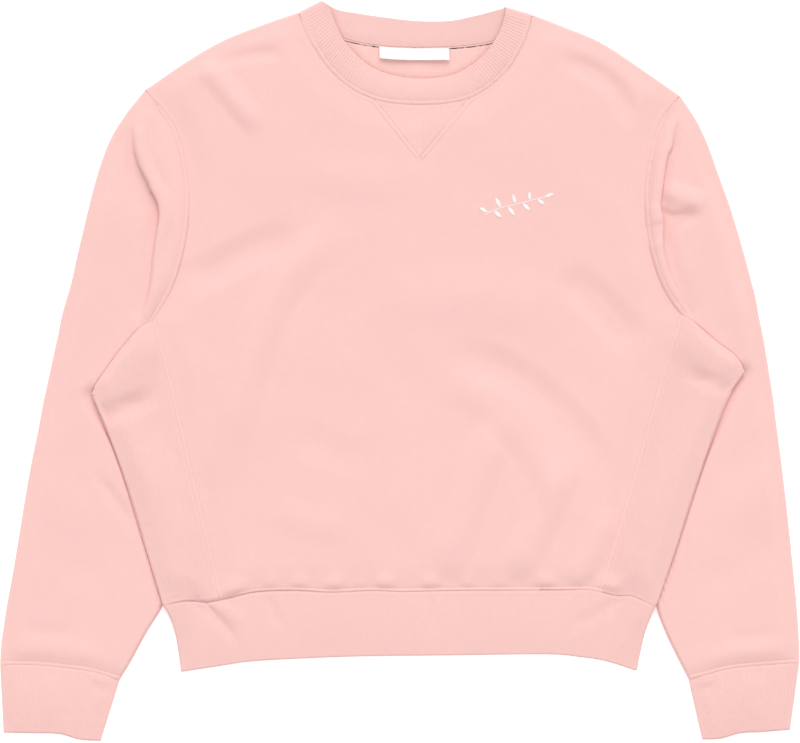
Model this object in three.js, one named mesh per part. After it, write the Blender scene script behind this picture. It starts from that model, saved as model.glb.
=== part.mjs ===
// Crewneck sweatshirt laid flat on its back, front up, in millimetres.
// +X runs across the chest, +Y from the hem to the neck and +Z up from the surface it lies on.
// Right and left are the wearer's, so the right sleeve is on the -X side.
import * as THREE from 'three';

// Cloth
const WALL = 2.0;
const HALF = WALL / 2;
const AIR = 1.0;
const SEAM = 0.6;
const LOW = HALF;
const HIGH = HALF + WALL + AIR;
const FOLD_Z = (LOW + HIGH) / 2;
const FOLD_R = (HIGH - LOW) / 2;
const EDGE = FOLD_R + HALF;
// The body's sides lie over the sleeves, so both of their layers are raised by this much there
const LIFT = 5.8;
const LIFT_FLAT = 4;
const LIFT_RUN = 24;
// Loft of the upper layer: at a seam, away from the seams, and how far in from a seam or fold it builds
const LOFT_SEAM = 0.8;
const LOFT = 3.4;
const LOFT_RUN = 26;
const FOLD_RUN = 20;
// Ribs
const RIB = 0.5;
const HEM_RIBS = 180;
const CUFF_RIBS = 44;
const COLLAR_FRONT_RIBS = 96;
const COLLAR_BACK_RIBS = 76;
const INSERT_RIBS = 32;
// Ridge of each side panel at the underarm
const RIDGE_LAP = 7;
const RIDGE_DROP = 2.6;
const RIDGE_ROUND = 6;

// A table has a line of column names and a row for each section, station or fold
function table(columns, rows) {
  const names = columns.split(' ');
  return rows.map((row) => Object.fromEntries(names.map((name, k) => [name, row[k]])));
}

// Each sleeve from the crown to the cuff: the outer fold, and the armhole, ridge or hidden inner fold
const SLEEVE_COLUMNS = 'station outX outY inX inY';
const SLEEVES = {
  right: table(SLEEVE_COLUMNS, [
    ['crown', -234.6, 258.8, -220.8, 244.3],
    ['head', -254, 234, -207, 224],
    ['upper_head', -267.5, 211, -199, 199],
    ['tuck_top', -279.7, 176.2, -194.6, 169],
    ['tuck', -289, 139.4, -195.2, 136],
    ['tuck_foot', -296.5, 108, -200.6, 106.3],
    ['lower_head', -303, 79, -208.8, 79.6],
    ['armhole_foot', -307.5, 64, -216.5, 64],
    ['underarm', -311.5, 49, -227.2, 46.5],
    ['ridge_1', -314, 36, -238, 38],
    ['ridge_2', -317, 22.5, -248.5, 26.5],
    ['ridge_3', -320, 8.5, -259, 13.5],
    ['ridge_4', -324, -10, -271, -3.5],
    ['tip', -328, -28.5, -283.4, -21.6],
    ['under_1', -333, -55, -266, -53],
    ['under_2', -339, -84, -246, -82],
    ['under_3', -345, -118, -226, -116],
    ['under_4', -351, -155, -214, -154],
    ['under_5', -356.5, -188, -211.5, -188],
    ['parting', -361.5, -215, -218, -214.8],
    ['forearm', -365, -238, -233, -240],
    ['wrist', -367.2, -256, -247, -266],
    ['cuff_seam', -367.8, -269.5, -257.6, -283.4],
  ]),
  left: table(SLEEVE_COLUMNS, [
    ['crown', 257.6, 253.5, 243.8, 238.7],
    ['head', 272.3, 231.4, 234, 217],
    ['upper_head', 282.5, 210, 229.1, 196.4],
    ['tuck_top', 294, 178, 225.6, 171.6],
    ['tuck', 304, 150, 226, 143],
    ['tuck_foot', 314, 117, 229.3, 117],
    ['lower_head', 322.9, 84.2, 239.2, 84.2],
    ['armhole_foot', 327.5, 66, 249.3, 65],
    ['underarm', 330.5, 49, 260.4, 51.1],
    ['ridge_1', 333.2, 36, 272, 40.5],
    ['ridge_2', 335.6, 23, 283, 31],
    ['ridge_3', 337.6, 11, 294, 22],
    ['ridge_4', 340.2, -6, 305.5, 13.5],
    ['tip', 343.2, -26.2, 316.4, -1],
    ['under_1', 346.8, -54, 291, -37],
    ['under_2', 350.5, -81.4, 272, -68],
    ['under_3', 354.4, -114, 254, -102],
    ['under_4', 358, -146, 240, -136],
    ['under_5', 361.4, -180, 231, -172],
    ['parting', 364.8, -214, 235.5, -216],
    ['forearm', 366.3, -236, 243.8, -239.7],
    ['wrist', 367.2, -254, 256, -265],
    ['cuff_seam', 367.2, -267.5, 265, -282.6],
  ]),
};
const UNDERARM = 8;
const TIP = 13;
const SAG_ROWS = 3;

// Each side panel: the fold at the body's edge from the tip to the parting, and the seam to the front
const SIDES = {
  right: {
    hand: -1,
    fold: table('x y', [[-283.4, -21.6], [-267.7, -59.3], [-253, -99.8], [-234.6, -159.6], [-218, -214.8]]),
    seam: table('x y', [[-227.2, 46.5], [-209.5, -26], [-192.3, -99.8], [-166.5, -207.5]]),
  },
  left: {
    hand: 1,
    fold: table('x y', [
      [316.4, -1], [305.5, -17], [294.4, -41.9], [274.2, -99.8], [253.9, -162.4], [235.5, -216],
    ]),
    seam: table('x y', [[260.4, 51.1], [239, -20], [217.1, -99.8], [185.8, -203.5]]),
  },
};

// Shoulder folds from the armhole to the neck
const SHOULDERS = {
  right: table('x y', [[-234.6, 258.8], [-202.4, 281.1], [-165.6, 303.1], [-128, 318.4], [-92.9, 330.5]]),
  left: table('x y', [[257.6, 253.5], [220.8, 279.2], [184, 303.1], [151, 317], [121.2, 328.5]]),
};

// Neck seam of the front, right shoulder to left, and the triangle set in below it
const NECK_SEAM = table('x y', [
  [-92.9, 330.5], [-87.4, 313.6], [-77.7, 296.1], [-63.7, 276.6], [-46, 260.8], [-23.9, 250.2],
  [-5.5, 246.4], [20.8, 245.2], [46, 246.8], [64.4, 251.4],
  [82.4, 261.7], [98.3, 276.6], [109.4, 294.2], [117.6, 313], [121.2, 328.5],
]);
const INSERT_FROM = 5;
const INSERT_TO = 9;
const INSERT_APEX = { x: 18.4, y: 196.8 };
const NECK_FREE = table('x y', [
  [-71.8, 341], [-64.6, 333.9], [-60.2, 322.5], [-54, 308.4], [-44.3, 295.4], [-30.4, 282.6],
  [-14.4, 274.6], [5, 270.2], [26.1, 269.4], [47.2, 272.4], [63, 279.8], [78.8, 293.4], [87.7, 305.5],
  [93.8, 318.9], [97.5, 334.8],
]);
const BACK_SEAM = table('x y', [
  [-92.9, 330.5], [-75.4, 316.4], [-54.3, 307.3], [-19.3, 300.2], [22.1, 298.4], [64.4, 300.4],
  [89.2, 305.4], [105.8, 315.2], [121.2, 328.5],
]);
const BACK_FREE = table('x y', [
  [-71.8, 341], [-58, 333], [-42, 329.8], [-14, 325.6], [18, 322.2], [46.9, 322.6], [66, 326.4],
  [82, 330.4], [97.5, 334.8],
]);

// Hem seam of the front, side fold to side fold, and the edge at its lower end
const HEM_SEAM = table('x y', [
  [-218, -214.8], [-205, -211.8], [-192.3, -210.7], [-178, -212], [-158.2, -208.4], [-135.2, -202.9],
  [-98.4, -201], [-65.3, -202.6], [-23.9, -200.9], [0, -201.9], [46, -201], [100, -200.7],
  [147.2, -200.5], [174.8, -200.3],
  [199.6, -205.6], [211.6, -205.4], [225.4, -210.8], [235.5, -216],
]);
const HEM_EDGE = table('x y', [
  [-201.5, -276.3], [-184, -273.4], [-165.6, -270.6], [-142.6, -267], [-101.2, -264.2], [-36.8, -261.7],
  [46, -260.8], [110.4, -259.9], [147.2, -260.2], [165.6, -262.4], [184, -264.9], [202.4, -270],
  [218, -275.5],
]);
const HEM_SIDES = {
  right: table('x y', [[-218, -214.8], [-211.6, -225.5], [-207, -239.7], [-204.2, -256], [-201.5, -276.3]]),
  left: table('x y', [[235.5, -216], [230.4, -226.5], [225.4, -239.7], [221.7, -256], [218, -275.5]]),
};
const BACK_HEM = table('x y', [[-218, -214.8], [-150, -206], [0, -203], [150, -206], [235.5, -216]]);

// Cuffs: seam and lower edge from the outer fold to the inner one
const CUFFS = {
  right: {
    seam: table('x y', [
      [-367.8, -269.9], [-337.6, -270], [-307.3, -272.6], [-284.3, -276], [-257.6, -283.8],
    ]),
    edge: table('x y', [
      [-364.6, -331.9], [-338, -332.4], [-313, -333.2], [-294.4, -338.2], [-275.1, -339.6],
    ]),
  },
  left: {
    seam: table('x y', [[367.2, -267.9], [332.1, -270.2], [301.8, -273.7], [280, -279.3], [265, -283]]),
    edge: table('x y', [[358.8, -329.2], [331.2, -331.4], [312.8, -332.4], [294.4, -337.4], [277.8, -338.3]]),
  },
};

// Folds of the upper layer. A path runs through its points; reachL and reachR are how far the fold spreads
// to the left and right of it, and rise is its height, below 0 for a trough.
const FOLD_COLUMNS = 'name rise reachL reachR path';
const BODY_FOLDS = table(FOLD_COLUMNS, [
  ['right_shoulder_trough', -1.8, 12, 10, [[-184, 276], [-171, 250], [-154, 232]]],
  ['right_shoulder_ridge', 1.9, 11, 13, [[-170, 282], [-160, 262], [-146, 246]]],
  ['right_chest_trough', -1.7, 18, 16, [[-190, 99], [-160, 103], [-132, 122], [-104, 140]]],
  ['right_chest_ridge', 2.1, 18, 20, [[-186, 66], [-150, 82], [-112, 96], [-84, 118]]],
  ['right_waist_trough', -1.9, 20, 18, [[-146, -22], [-122, 30], [-94, 72], [-66, 106]]],
  ['right_waist_ridge', 1.6, 22, 22, [[-120, -60], [-92, -12], [-58, 40]]],
  ['left_shoulder_trough', -1.4, 12, 12, [[204, 250], [196, 232], [190, 214]]],
  ['left_collar_ridge', 1.5, 11, 12, [[140, 312], [144, 288], [138, 262]]],
  ['left_chest_trough', -1.8, 17, 16, [[172, 110], [196, 80], [219, 42]]],
  ['middle_trough', -1.5, 16, 18, [[98, 30], [134, 16], [165, 2]]],
  ['middle_arc_ridge', 2.0, 20, 20, [[54, 6], [106, -22], [148, -62], [181, -109]]],
  ['lower_left_trough', -1.7, 18, 18, [[45, -189], [58, -130], [78, -66]]],
  ['lower_left_ridge', 1.6, 18, 18, [[84, -176], [100, -142], [112, -112]]],
  ['lower_side_trough', -1.6, 16, 16, [[125, -168], [148, -140], [164, -112]]],
  ['hem_ridge_right', 1.3, 14, 14, [[-150, -186], [-110, -170], [-70, -168]]],
]);
const SLEEVE_FOLDS = {
  right: table(FOLD_COLUMNS, [
    ['head_strip', 3.4, 13, 9, [
      [-236, 236], [-222, 205], [-210, 170], [-206, 136], [-212, 100], [-222, 70], [-236, 50],
    ]],
    ['head_tuck', -4.2, 5, 24, [
      [-250, 236], [-241, 205], [-229, 176], [-222, 148], [-223, 122], [-227, 92], [-236, 60],
    ]],
    ['upper_arm_ridge', 2.4, 20, 20, [[-268, 190], [-276, 130], [-284, 70], [-296, 20]]],
    ['elbow_trough', -1.6, 14, 16, [[-322, -60], [-300, -92], [-276, -112]]],
    ['elbow_ridge', 1.8, 18, 18, [[-332, -96], [-304, -128], [-262, -150]]],
    ['forearm_trough', -1.5, 14, 14, [[-340, -150], [-306, -178], [-262, -190]]],
    ['wrist_ridge', 1.4, 14, 14, [[-352, -200], [-312, -222], [-262, -236]]],
  ]),
  left: table(FOLD_COLUMNS, [
    ['head_strip', 3.0, 9, 11, [
      [256, 236], [244, 205], [236, 172], [234, 140], [241, 104], [252, 74], [266, 52],
    ]],
    ['head_tuck', -4.0, 22, 5, [
      [266, 238], [254, 210], [246, 184], [243, 152], [245, 122], [253, 92], [266, 60],
    ]],
    ['notch_trough', -2.2, 9, 12, [[246, 160], [258, 150], [269, 140]]],
    ['notch_ridge', 2.6, 13, 12, [[252, 178], [266, 162], [282, 150]]],
    ['upper_arm_ridge', 2.2, 18, 18, [[288, 176], [296, 124], [306, 72], [320, 26]]],
    ['elbow_trough', -1.5, 16, 14, [[338, -58], [318, -84], [292, -100]]],
    ['elbow_ridge', 1.8, 18, 18, [[346, -92], [318, -124], [280, -146]]],
    ['forearm_trough', -1.5, 14, 14, [[352, -150], [316, -180], [270, -196]]],
    ['wrist_ridge', 1.4, 14, 14, [[356, -202], [322, -224], [280, -240]]],
  ]),
};
const HEM_FOLDS = table(FOLD_COLUMNS, [
  ['corner_tuck', -1.3, 7, 7, [[-186, -207], [-180, -222], [-172, -232]]],
  ['corner_swell', 1.6, 10, 10, [[-200, -216], [-194, -240], [-188, -262]]],
  ['quarter_tuck', -1.2, 8, 8, [[-120, -204], [-116, -222], [-104, -238]]],
  ['middle_tuck', -1.1, 9, 9, [[24, -203], [30, -224], [26, -244]]],
  ['left_tuck', -1.6, 7, 7, [[198, -207], [194, -222], [186, -236]]],
  ['left_swell', 1.4, 10, 10, [[214, -212], [208, -236], [200, -258]]],
]);
const CUFF_FOLDS = {
  right: table(FOLD_COLUMNS, [
    ['inner_tuck', -1.5, 4, 5, [[-272, -283], [-276, -300], [-279, -318]]],
    ['middle_swell', 1.0, 14, 14, [[-318, -276], [-322, -326]]],
  ]),
  left: table(FOLD_COLUMNS, [
    ['inner_tuck', -1.4, 5, 4, [[279, -284], [282, -300], [285, -318]]],
    ['middle_swell', 1.0, 14, 14, [[326, -276], [324, -324]]],
  ]),
};

// Neck label, on the inside of the back
const LABEL = {
  thick: 1.0, x0: -19.2, x1: 45.2, top: 0.6, drop: 11, tilt: -0.048, lift: 2.6, columns: 8, rows: 3,
};

// Small helpers
const lerp = (a, b, t) => a + (b - a) * t;

function ease(from, to, value) {
  const t = Math.min(1, Math.max(0, (value - from) / (to - from)));
  return t * t * (3 - 2 * t);
}

function between(a, b, t) {
  return { x: lerp(a.x, b.x, t), y: lerp(a.y, b.y, t) };
}

function distance(a, b) {
  return Math.hypot(a.x - b.x, a.y - b.y);
}

// A smooth line through a table's points
function smoothLine(points, steps) {
  const flat = points.map((p) => new THREE.Vector3(p.x, p.y, 0));
  const curve = new THREE.CatmullRomCurve3(flat, false, 'centripetal');
  return curve.getPoints(steps * (points.length - 1)).map((p) => ({ x: p.x, y: p.y }));
}

function lengths(line) {
  const out = [0];
  for (let i = 1; i < line.length; i += 1) out.push(out[i - 1] + distance(line[i - 1], line[i]));
  return out;
}

// The point at a share of a line's length
function along(line, share) {
  const sums = lengths(line);
  const want = share * sums[sums.length - 1];
  let i = 1;
  while (i < line.length - 1 && sums[i] < want) i += 1;
  const span = sums[i] - sums[i - 1];
  return between(line[i - 1], line[i], span > 0 ? (want - sums[i - 1]) / span : 0);
}

// The nearest place on a line: how far off, which side (+1 on its left), how far along, and if it is past
// an end
function nearest(line, x, y) {
  let best = { d: Infinity };
  let run = 0;
  for (let i = 0; i + 1 < line.length; i += 1) {
    const a = line[i];
    const b = line[i + 1];
    const ux = b.x - a.x;
    const uy = b.y - a.y;
    const span = Math.hypot(ux, uy) || 1e-9;
    const raw = ((x - a.x) * ux + (y - a.y) * uy) / (span * span);
    const t = Math.min(1, Math.max(0, raw));
    const d = Math.hypot(x - a.x - ux * t, y - a.y - uy * t);
    if (d < best.d) {
      const past = (i === 0 && raw < 0) || (i + 2 === line.length && raw > 1);
      best = { d, side: ux * (y - a.y) - uy * (x - a.x) > 0 ? 1 : -1, run: run + t * span, past };
    }
    run += span;
  }
  return { ...best, total: run };
}

// The height that a table of folds adds at a point
function prepare(folds) {
  return folds.map((fold) => ({ ...fold, line: smoothLine(fold.path.map(([x, y]) => ({ x, y })), 4) }));
}

function foldHeight(folds, x, y) {
  let sum = 0;
  for (const fold of folds) {
    const near = nearest(fold.line, x, y);
    const reach = near.side > 0 ? fold.reachL : fold.reachR;
    if (near.d < reach) {
      const across = 1 - (near.d / reach) ** 2;
      const ends = ease(0, 0.28, near.run / near.total) * ease(0, 0.28, 1 - near.run / near.total);
      sum += fold.rise * across * across * ends;
    }
  }
  return sum;
}

// The outlines and seams as smooth lines
const HANDS = ['right', 'left'];
const outline = {};
for (const hand of HANDS) {
  const rows = SLEEVES[hand];
  const ridgeRows = rows.slice(UNDERARM, TIP + 1);
  const ridge = ridgeRows.map((row) => ({ x: row.inX, y: row.inY }));
  const side = SIDES[hand];
  outline[hand] = {
    hand: side.hand,
    armhole: rows.slice(0, UNDERARM + 1).map((row) => ({ x: row.inX, y: row.inY })),
    ridge,
    fold: smoothLine(side.fold, 6),
    seam: smoothLine(side.seam, 4),
    outer: rows.map((row) => ({ x: row.outX, y: row.outY })),
    shoulder: smoothLine(SHOULDERS[hand], 3),
  };
}
const neckSeam = smoothLine(NECK_SEAM, 2);
const hemSeam = smoothLine(HEM_SEAM, 2);
const backHem = smoothLine(BACK_HEM, 4);

// How far the sleeve runs in under the ridge, at a share of the ridge's length
function ridgeLap(share) {
  return lerp(-SEAM, RIDGE_LAP, ease(0.12, 0.4, share));
}

// A point moved off a line towards the middle of the body and down, square to the line at that share
function inside(line, share, by, hand) {
  const p = along(line, share);
  const a = along(line, Math.max(0, share - 0.02));
  const b = along(line, Math.min(1, share + 0.02));
  const span = distance(a, b);
  return { x: p.x + (hand * (b.y - a.y) / span) * by, y: p.y - (hand * (b.x - a.x) / span) * by };
}

for (const hand of HANDS) {
  const o = outline[hand];
  const lapped = [0.36, 0.55, 0.78, 1].map((share) => inside(o.ridge, share, ridgeLap(share), o.hand));
  const hidden = SLEEVES[hand].slice(TIP + 1).map((row) => ({ x: row.inX, y: row.inY }));
  o.liftLine = [...lapped, ...hidden];
}

// Lift of the body's layers where they lie over a sleeve
function lift(x, y) {
  let most = 0;
  for (const hand of HANDS) {
    const o = outline[hand];
    const near = nearest(o.liftLine, x, y);
    const over = near.side * o.hand > 0 && !near.past;
    most = Math.max(most, over ? 1 : 1 - ease(LIFT_FLAT, LIFT_FLAT + LIFT_RUN, near.d));
  }
  return LIFT * most;
}

const smoothCuff = { right: smoothLine(CUFFS.right.seam, 2), left: smoothLine(CUFFS.left.seam, 2) };
const bodyFolds = prepare(BODY_FOLDS);
const hemFolds = prepare(HEM_FOLDS);
const sleeveFolds = { right: prepare(SLEEVE_FOLDS.right), left: prepare(SLEEVE_FOLDS.left) };
const cuffFolds = { right: prepare(CUFF_FOLDS.right), left: prepare(CUFF_FOLDS.left) };

function nearAny(lines, x, y) {
  return Math.min(...lines.map((line) => nearest(line, x, y).d));
}

const bodyEdges = HANDS.flatMap((hand) => [outline[hand].fold, outline[hand].shoulder]);
const bodySeams = [hemSeam, neckSeam];
for (const hand of HANDS) bodySeams.push(outline[hand].armhole, outline[hand].seam);

// Mid height of the body's upper layer
function bodyHigh(x, y) {
  const edge = nearAny(bodyEdges, x, y);
  const seam = nearAny(bodySeams, x, y);
  const loft = lerp(LOFT_SEAM, LOFT, ease(0, LOFT_RUN, seam)) * ease(0, FOLD_RUN, edge);
  const folds = foldHeight(bodyFolds, x, y) * ease(0, FOLD_RUN, edge);
  return HIGH + lift(x, y) + Math.max(0, loft + folds);
}

function bodyLow(x, y) {
  return LOW + lift(x, y);
}

// Mid height of a sleeve's upper layer, which is plain where the body lies on it
function sleeveHigh(hand, x, y) {
  const o = outline[hand];
  const outer = nearest(o.outer, x, y).d;
  const seam = nearest(o.armhole, x, y).d;
  const cuff = nearest(smoothCuff[hand], x, y).d;
  const body = nearest(o.fold, x, y);
  const ridge = nearest(o.ridge, x, y);
  const covered = body.side * o.hand < 0 && body.d > 0 && !body.past ? 0 : ease(3, 26, body.d);
  const lapped = ridge.past && ridge.run < 1 ? 1 : ease(2, 20, ridge.d);
  const armholeEdge = lerp(LOFT_SEAM, LOFT, ease(0, 14, Math.min(seam, cuff)));
  const under = lerp(lapped, 1, ease(-5, 5, ridge.d - seam));
  const height = armholeEdge + foldHeight(sleeveFolds[hand], x, y);
  return HIGH + Math.max(0, height) * ease(0, FOLD_RUN, outer) * Math.min(covered, under);
}

// A cloth is a sheet of points joined by four-sided cells
class Cloth {
  constructor() {
    this.points = [];
    this.cells = [];
  }

  add(x, y, z) {
    this.points.push(new THREE.Vector3(x, y, z));
    return this.points.length - 1;
  }

  cell(a, b, c, d) {
    this.cells.push([a, b, c, d]);
  }

  // Joins rows of indices, each as long as the next
  join(rows, closed = false) {
    for (let i = 0; i + 1 < rows.length; i += 1) {
      const count = rows[i].length;
      for (let j = 0; j < (closed ? count : count - 1); j += 1) {
        const k = (j + 1) % count;
        this.cell(rows[i][j], rows[i][k], rows[i + 1][k], rows[i + 1][j]);
      }
    }
  }

  normals() {
    const out = this.points.map(() => new THREE.Vector3());
    const p = this.points;
    for (const [a, b, c, d] of this.cells) {
      const one = new THREE.Vector3().subVectors(p[c], p[a]);
      const two = new THREE.Vector3().subVectors(p[d], p[b]);
      const area = one.cross(two);
      for (const k of [a, b, c, d]) out[k].add(area);
    }
    return out.map((n) => n.normalize());
  }
}

// A closed body from a list of triangles of vectors, turned to face out
function solid(triangles) {
  let volume = 0;
  const cross = new THREE.Vector3();
  for (const [a, b, c] of triangles) volume += a.dot(cross.crossVectors(b, c));
  const numbers = [];
  for (const [a, b, c] of triangles) {
    for (const v of volume > 0 ? [a, b, c] : [a, c, b]) numbers.push(v.x, v.y, v.z);
  }
  const geometry = new THREE.BufferGeometry();
  geometry.setAttribute('position', new THREE.Float32BufferAttribute(numbers, 3));
  geometry.computeVertexNormals();
  return geometry;
}

// Gives a cloth its wall: a skin on each side of the sheet and a rim along every open edge
function thicken(cloth, half) {
  const normals = cloth.normals();
  const outer = cloth.points.map((p, k) => p.clone().addScaledVector(normals[k], half));
  const inner = cloth.points.map((p, k) => p.clone().addScaledVector(normals[k], -half));
  const triangles = [];
  const edges = new Map();
  const note = (a, b) => {
    const back = `${b} ${a}`;
    if (edges.has(back)) edges.delete(back);
    else edges.set(`${a} ${b}`, [a, b]);
  };
  for (const [a, b, c, d] of cloth.cells) {
    const p = cloth.points;
    const straight = p[a].distanceTo(p[c]) <= p[b].distanceTo(p[d]);
    const halves = straight ? [[a, b, c], [a, c, d]] : [[a, b, d], [b, c, d]];
    for (const [i, j, k] of halves) {
      triangles.push([outer[i], outer[j], outer[k]]);
      triangles.push([inner[i], inner[k], inner[j]]);
    }
    note(a, b);
    note(b, c);
    note(c, d);
    note(d, a);
  }
  for (const [a, b] of edges.values()) {
    triangles.push([outer[a], inner[b], outer[b]]);
    triangles.push([outer[a], inner[a], inner[b]]);
  }
  return solid(triangles);
}

// A ribbed wall has a fine outer skin and a coarse inner one. Rows of both hold { p, n } in the same order.
function zip(triangles, a, shareA, b, shareB, turned) {
  let i = 0;
  let j = 0;
  while (i < a.length - 1 || j < b.length - 1) {
    const advanceA = j === b.length - 1 || (i < a.length - 1 && shareA[i + 1] <= shareB[j + 1] + 1e-9);
    const t = advanceA ? [a[i], a[i + 1], b[j]] : [a[i], b[j + 1], b[j]];
    triangles.push(turned ? [t[0], t[2], t[1]] : t);
    if (advanceA) i += 1;
    else j += 1;
  }
}

// Cuts the ribs' crests off an end row as triangles of their own, and keeps the row below them
function cutCrests(triangles, row, share, ribs, turned) {
  for (let k = 1; k + 1 < row.length; k += 1) {
    if (ribs[k]) triangles.push(turned ? [row[k + 1], row[k], row[k - 1]] : [row[k - 1], row[k], row[k + 1]]);
  }
  const plain = (list) => list.filter((unused, k) => !ribs[k]);
  return [plain(row), plain(share)];
}

function endFace(triangles, outer, inner, turned) {
  const a = cutCrests(triangles, ...outer, turned);
  const b = cutCrests(triangles, ...inner, !turned);
  zip(triangles, ...a, ...b, turned);
}

function ribbedWall(outer, shareOuter, ribsOuter, inner, shareInner, ribsInner, closed) {
  const triangles = [];
  const skin = (rows, turned) => {
    for (let i = 0; i + 1 < rows.length; i += 1) {
      for (let j = 0; j + 1 < rows[i].length; j += 1) {
        const quad = [rows[i][j], rows[i][j + 1], rows[i + 1][j + 1], rows[i + 1][j]];
        const halves = [[quad[0], quad[1], quad[2]], [quad[0], quad[2], quad[3]]];
        for (const t of halves) triangles.push(turned ? [t[0], t[2], t[1]] : t);
      }
    }
  };
  skin(outer, false);
  skin(inner, true);
  const last = outer.length - 1;
  endFace(triangles, [outer[0], shareOuter, ribsOuter], [inner[0], shareInner, ribsInner], true);
  endFace(triangles, [outer[last], shareOuter, ribsOuter], [inner[last], shareInner, ribsInner], false);
  if (!closed) {
    const end = (rows, k) => rows.map((row) => row[k === 0 ? 0 : row.length - 1]);
    const rowShare = (rows) => rows.map((row, k) => k / (rows.length - 1));
    zip(triangles, end(outer, 0), rowShare(outer), end(inner, 0), rowShare(inner), false);
    zip(triangles, end(outer, 1), rowShare(outer), end(inner, 1), rowShare(inner), true);
  }
  return solid(triangles);
}

// Rows of sheet points moved off the sheet by an amount for each column
function offsetRows(rows, closed, off) {
  const last = rows.length - 1;
  return rows.map((row, i) => {
    const end = row.length - 1;
    const moved = row.map((p, j) => {
      const before = j > 0 ? row[j - 1] : closed ? row[end - 1] : p;
      const after = j < end ? row[j + 1] : closed ? row[1] : p;
      const acrossStep = new THREE.Vector3().subVectors(after, before);
      const next = rows[Math.min(last, i + 1)][j];
      const alongStep = new THREE.Vector3().subVectors(next, rows[Math.max(0, i - 1)][j]);
      const n = acrossStep.cross(alongStep).normalize();
      return p.clone().addScaledVector(n, off(j, i));
    });
    if (closed) moved[end] = moved[0];
    return moved;
  });
}

// Points round a fold in plan from `from` towards `to`, over an angle range measured from level; + is up
function foldArc(middle, ux, uy, centreZ, fromDeg, toDeg, steps) {
  const out = [];
  for (let k = 0; k <= steps; k += 1) {
    const angle = THREE.MathUtils.degToRad(lerp(fromDeg, toDeg, k / steps));
    const reach = FOLD_R * Math.cos(angle);
    out.push([middle.x + ux * reach, middle.y + uy * reach, centreZ + FOLD_R * Math.sin(angle)]);
  }
  return out;
}

// Seam stations, shared by the pieces on both sides of a seam so that their edges run side by side
const SEAM_CELLS = 9;
const seamStations = {};
for (const hand of HANDS) {
  seamStations[hand] = [];
  for (let k = 0; k <= SEAM_CELLS; k += 1) seamStations[hand].push(along(outline[hand].seam, k / SEAM_CELLS));
}

// Sleeves

const SLEEVE_UPPER = 10;
const SLEEVE_LOWER = 5;

// The straight line across the sleeve's end and how far the cuff seam sags from it, from the inner fold out
const cuffEnds = {};
for (const hand of HANDS) {
  const row = SLEEVES[hand][SLEEVES[hand].length - 1];
  const span = Math.hypot(row.outX - row.inX, row.outY - row.inY);
  const step = { x: ((row.outX - row.inX) / span) * EDGE, y: ((row.outY - row.inY) / span) * EDGE };
  const inn = { x: row.inX + step.x, y: row.inY + step.y };
  const out = { x: row.outX - step.x, y: row.outY - step.y };
  cuffEnds[hand] = { inn, out };
}

function cuffSag(hand, share) {
  const { inn, out } = cuffEnds[hand];
  const straight = between(inn, out, share);
  const seam = [...smoothCuff[hand]].sort((a, b) => a.x - b.x);
  return (hemY(seam)(straight.x) - straight.y) * (share > 0 && share < 1 ? 1 : 0);
}

// The seam's chords as the sleeve has them, so that the cuff can follow its upper or its lower layer
function cuffChord(hand, cells) {
  const { inn, out } = cuffEnds[hand];
  const points = Array.from({ length: cells + 1 }, (unused, k) => {
    const p = between(inn, out, k / cells);
    return { x: p.x, y: p.y + cuffSag(hand, k / cells) };
  });
  return points.sort((a, b) => a.x - b.x);
}

function sleeveCloth(hand) {
  const o = outline[hand];
  const cloth = new Cloth();
  const rows = SLEEVES[hand];
  const ridgeSums = lengths(o.ridge);
  const ridgeTotal = ridgeSums[ridgeSums.length - 1];
  const open = [];
  const rings = [];
  rows.forEach((entry, i) => {
    const row = { ...entry, sag: Math.max(0, 1 - (rows.length - 1 - i) / SAG_ROWS) };
    const out = { x: row.outX, y: row.outY };
    let inn = { x: row.inX, y: row.inY };
    const folded = i > TIP;
    if (i <= UNDERARM) inn = { x: inn.x + o.hand * SEAM * 0.5, y: inn.y };
    else if (i <= TIP) {
      const share = ridgeSums[i - UNDERARM] / ridgeTotal;
      inn = inside(o.ridge, share, ridgeLap(share), o.hand);
    }
    const span = distance(out, inn);
    const ux = (out.x - inn.x) / span;
    const uy = (out.y - inn.y) / span;
    if (i === 0) {
      for (const p of [out, inn]) {
        p.x += o.hand * SEAM * 0.5;
        p.y -= SEAM * 0.5;
      }
    }
    const outEnd = { x: out.x - ux * EDGE, y: out.y - uy * EDGE };
    const inEnd = folded ? { x: inn.x + ux * EDGE, y: inn.y + uy * EDGE } : inn;
    const line = [];
    for (let k = 0; k < SLEEVE_UPPER; k += 1) {
      const share = k / SLEEVE_UPPER;
      const near = folded || i >= UNDERARM ? share : lerp(share, share * share, 0.35);
      const p = between(inEnd, outEnd, near);
      p.y += cuffSag(hand, near) * row.sag;
      line.push(cloth.add(p.x, p.y, sleeveHigh(hand, p.x, p.y)));
    }
    for (const [x, y, z] of foldArc(outEnd, ux, uy, FOLD_Z, 90, -90, 4)) line.push(cloth.add(x, y, z));
    for (let k = 1; k <= SLEEVE_LOWER; k += 1) {
      const p = between(outEnd, inEnd, k / SLEEVE_LOWER);
      p.y += cuffSag(hand, 1 - k / SLEEVE_LOWER) * row.sag;
      line.push(cloth.add(p.x, p.y, LOW));
    }
    open.push(line);
    if (folded) {
      const extra = foldArc(inEnd, -ux, -uy, FOLD_Z, -90, 90, 3).slice(1, -1).map((p) => cloth.add(...p));
      rings.push([line[line.length - 1], ...extra, line[0]]);
    }
  });
  cloth.join(open);
  cloth.join(rings);
  return cloth;
}

// Body panels

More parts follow.
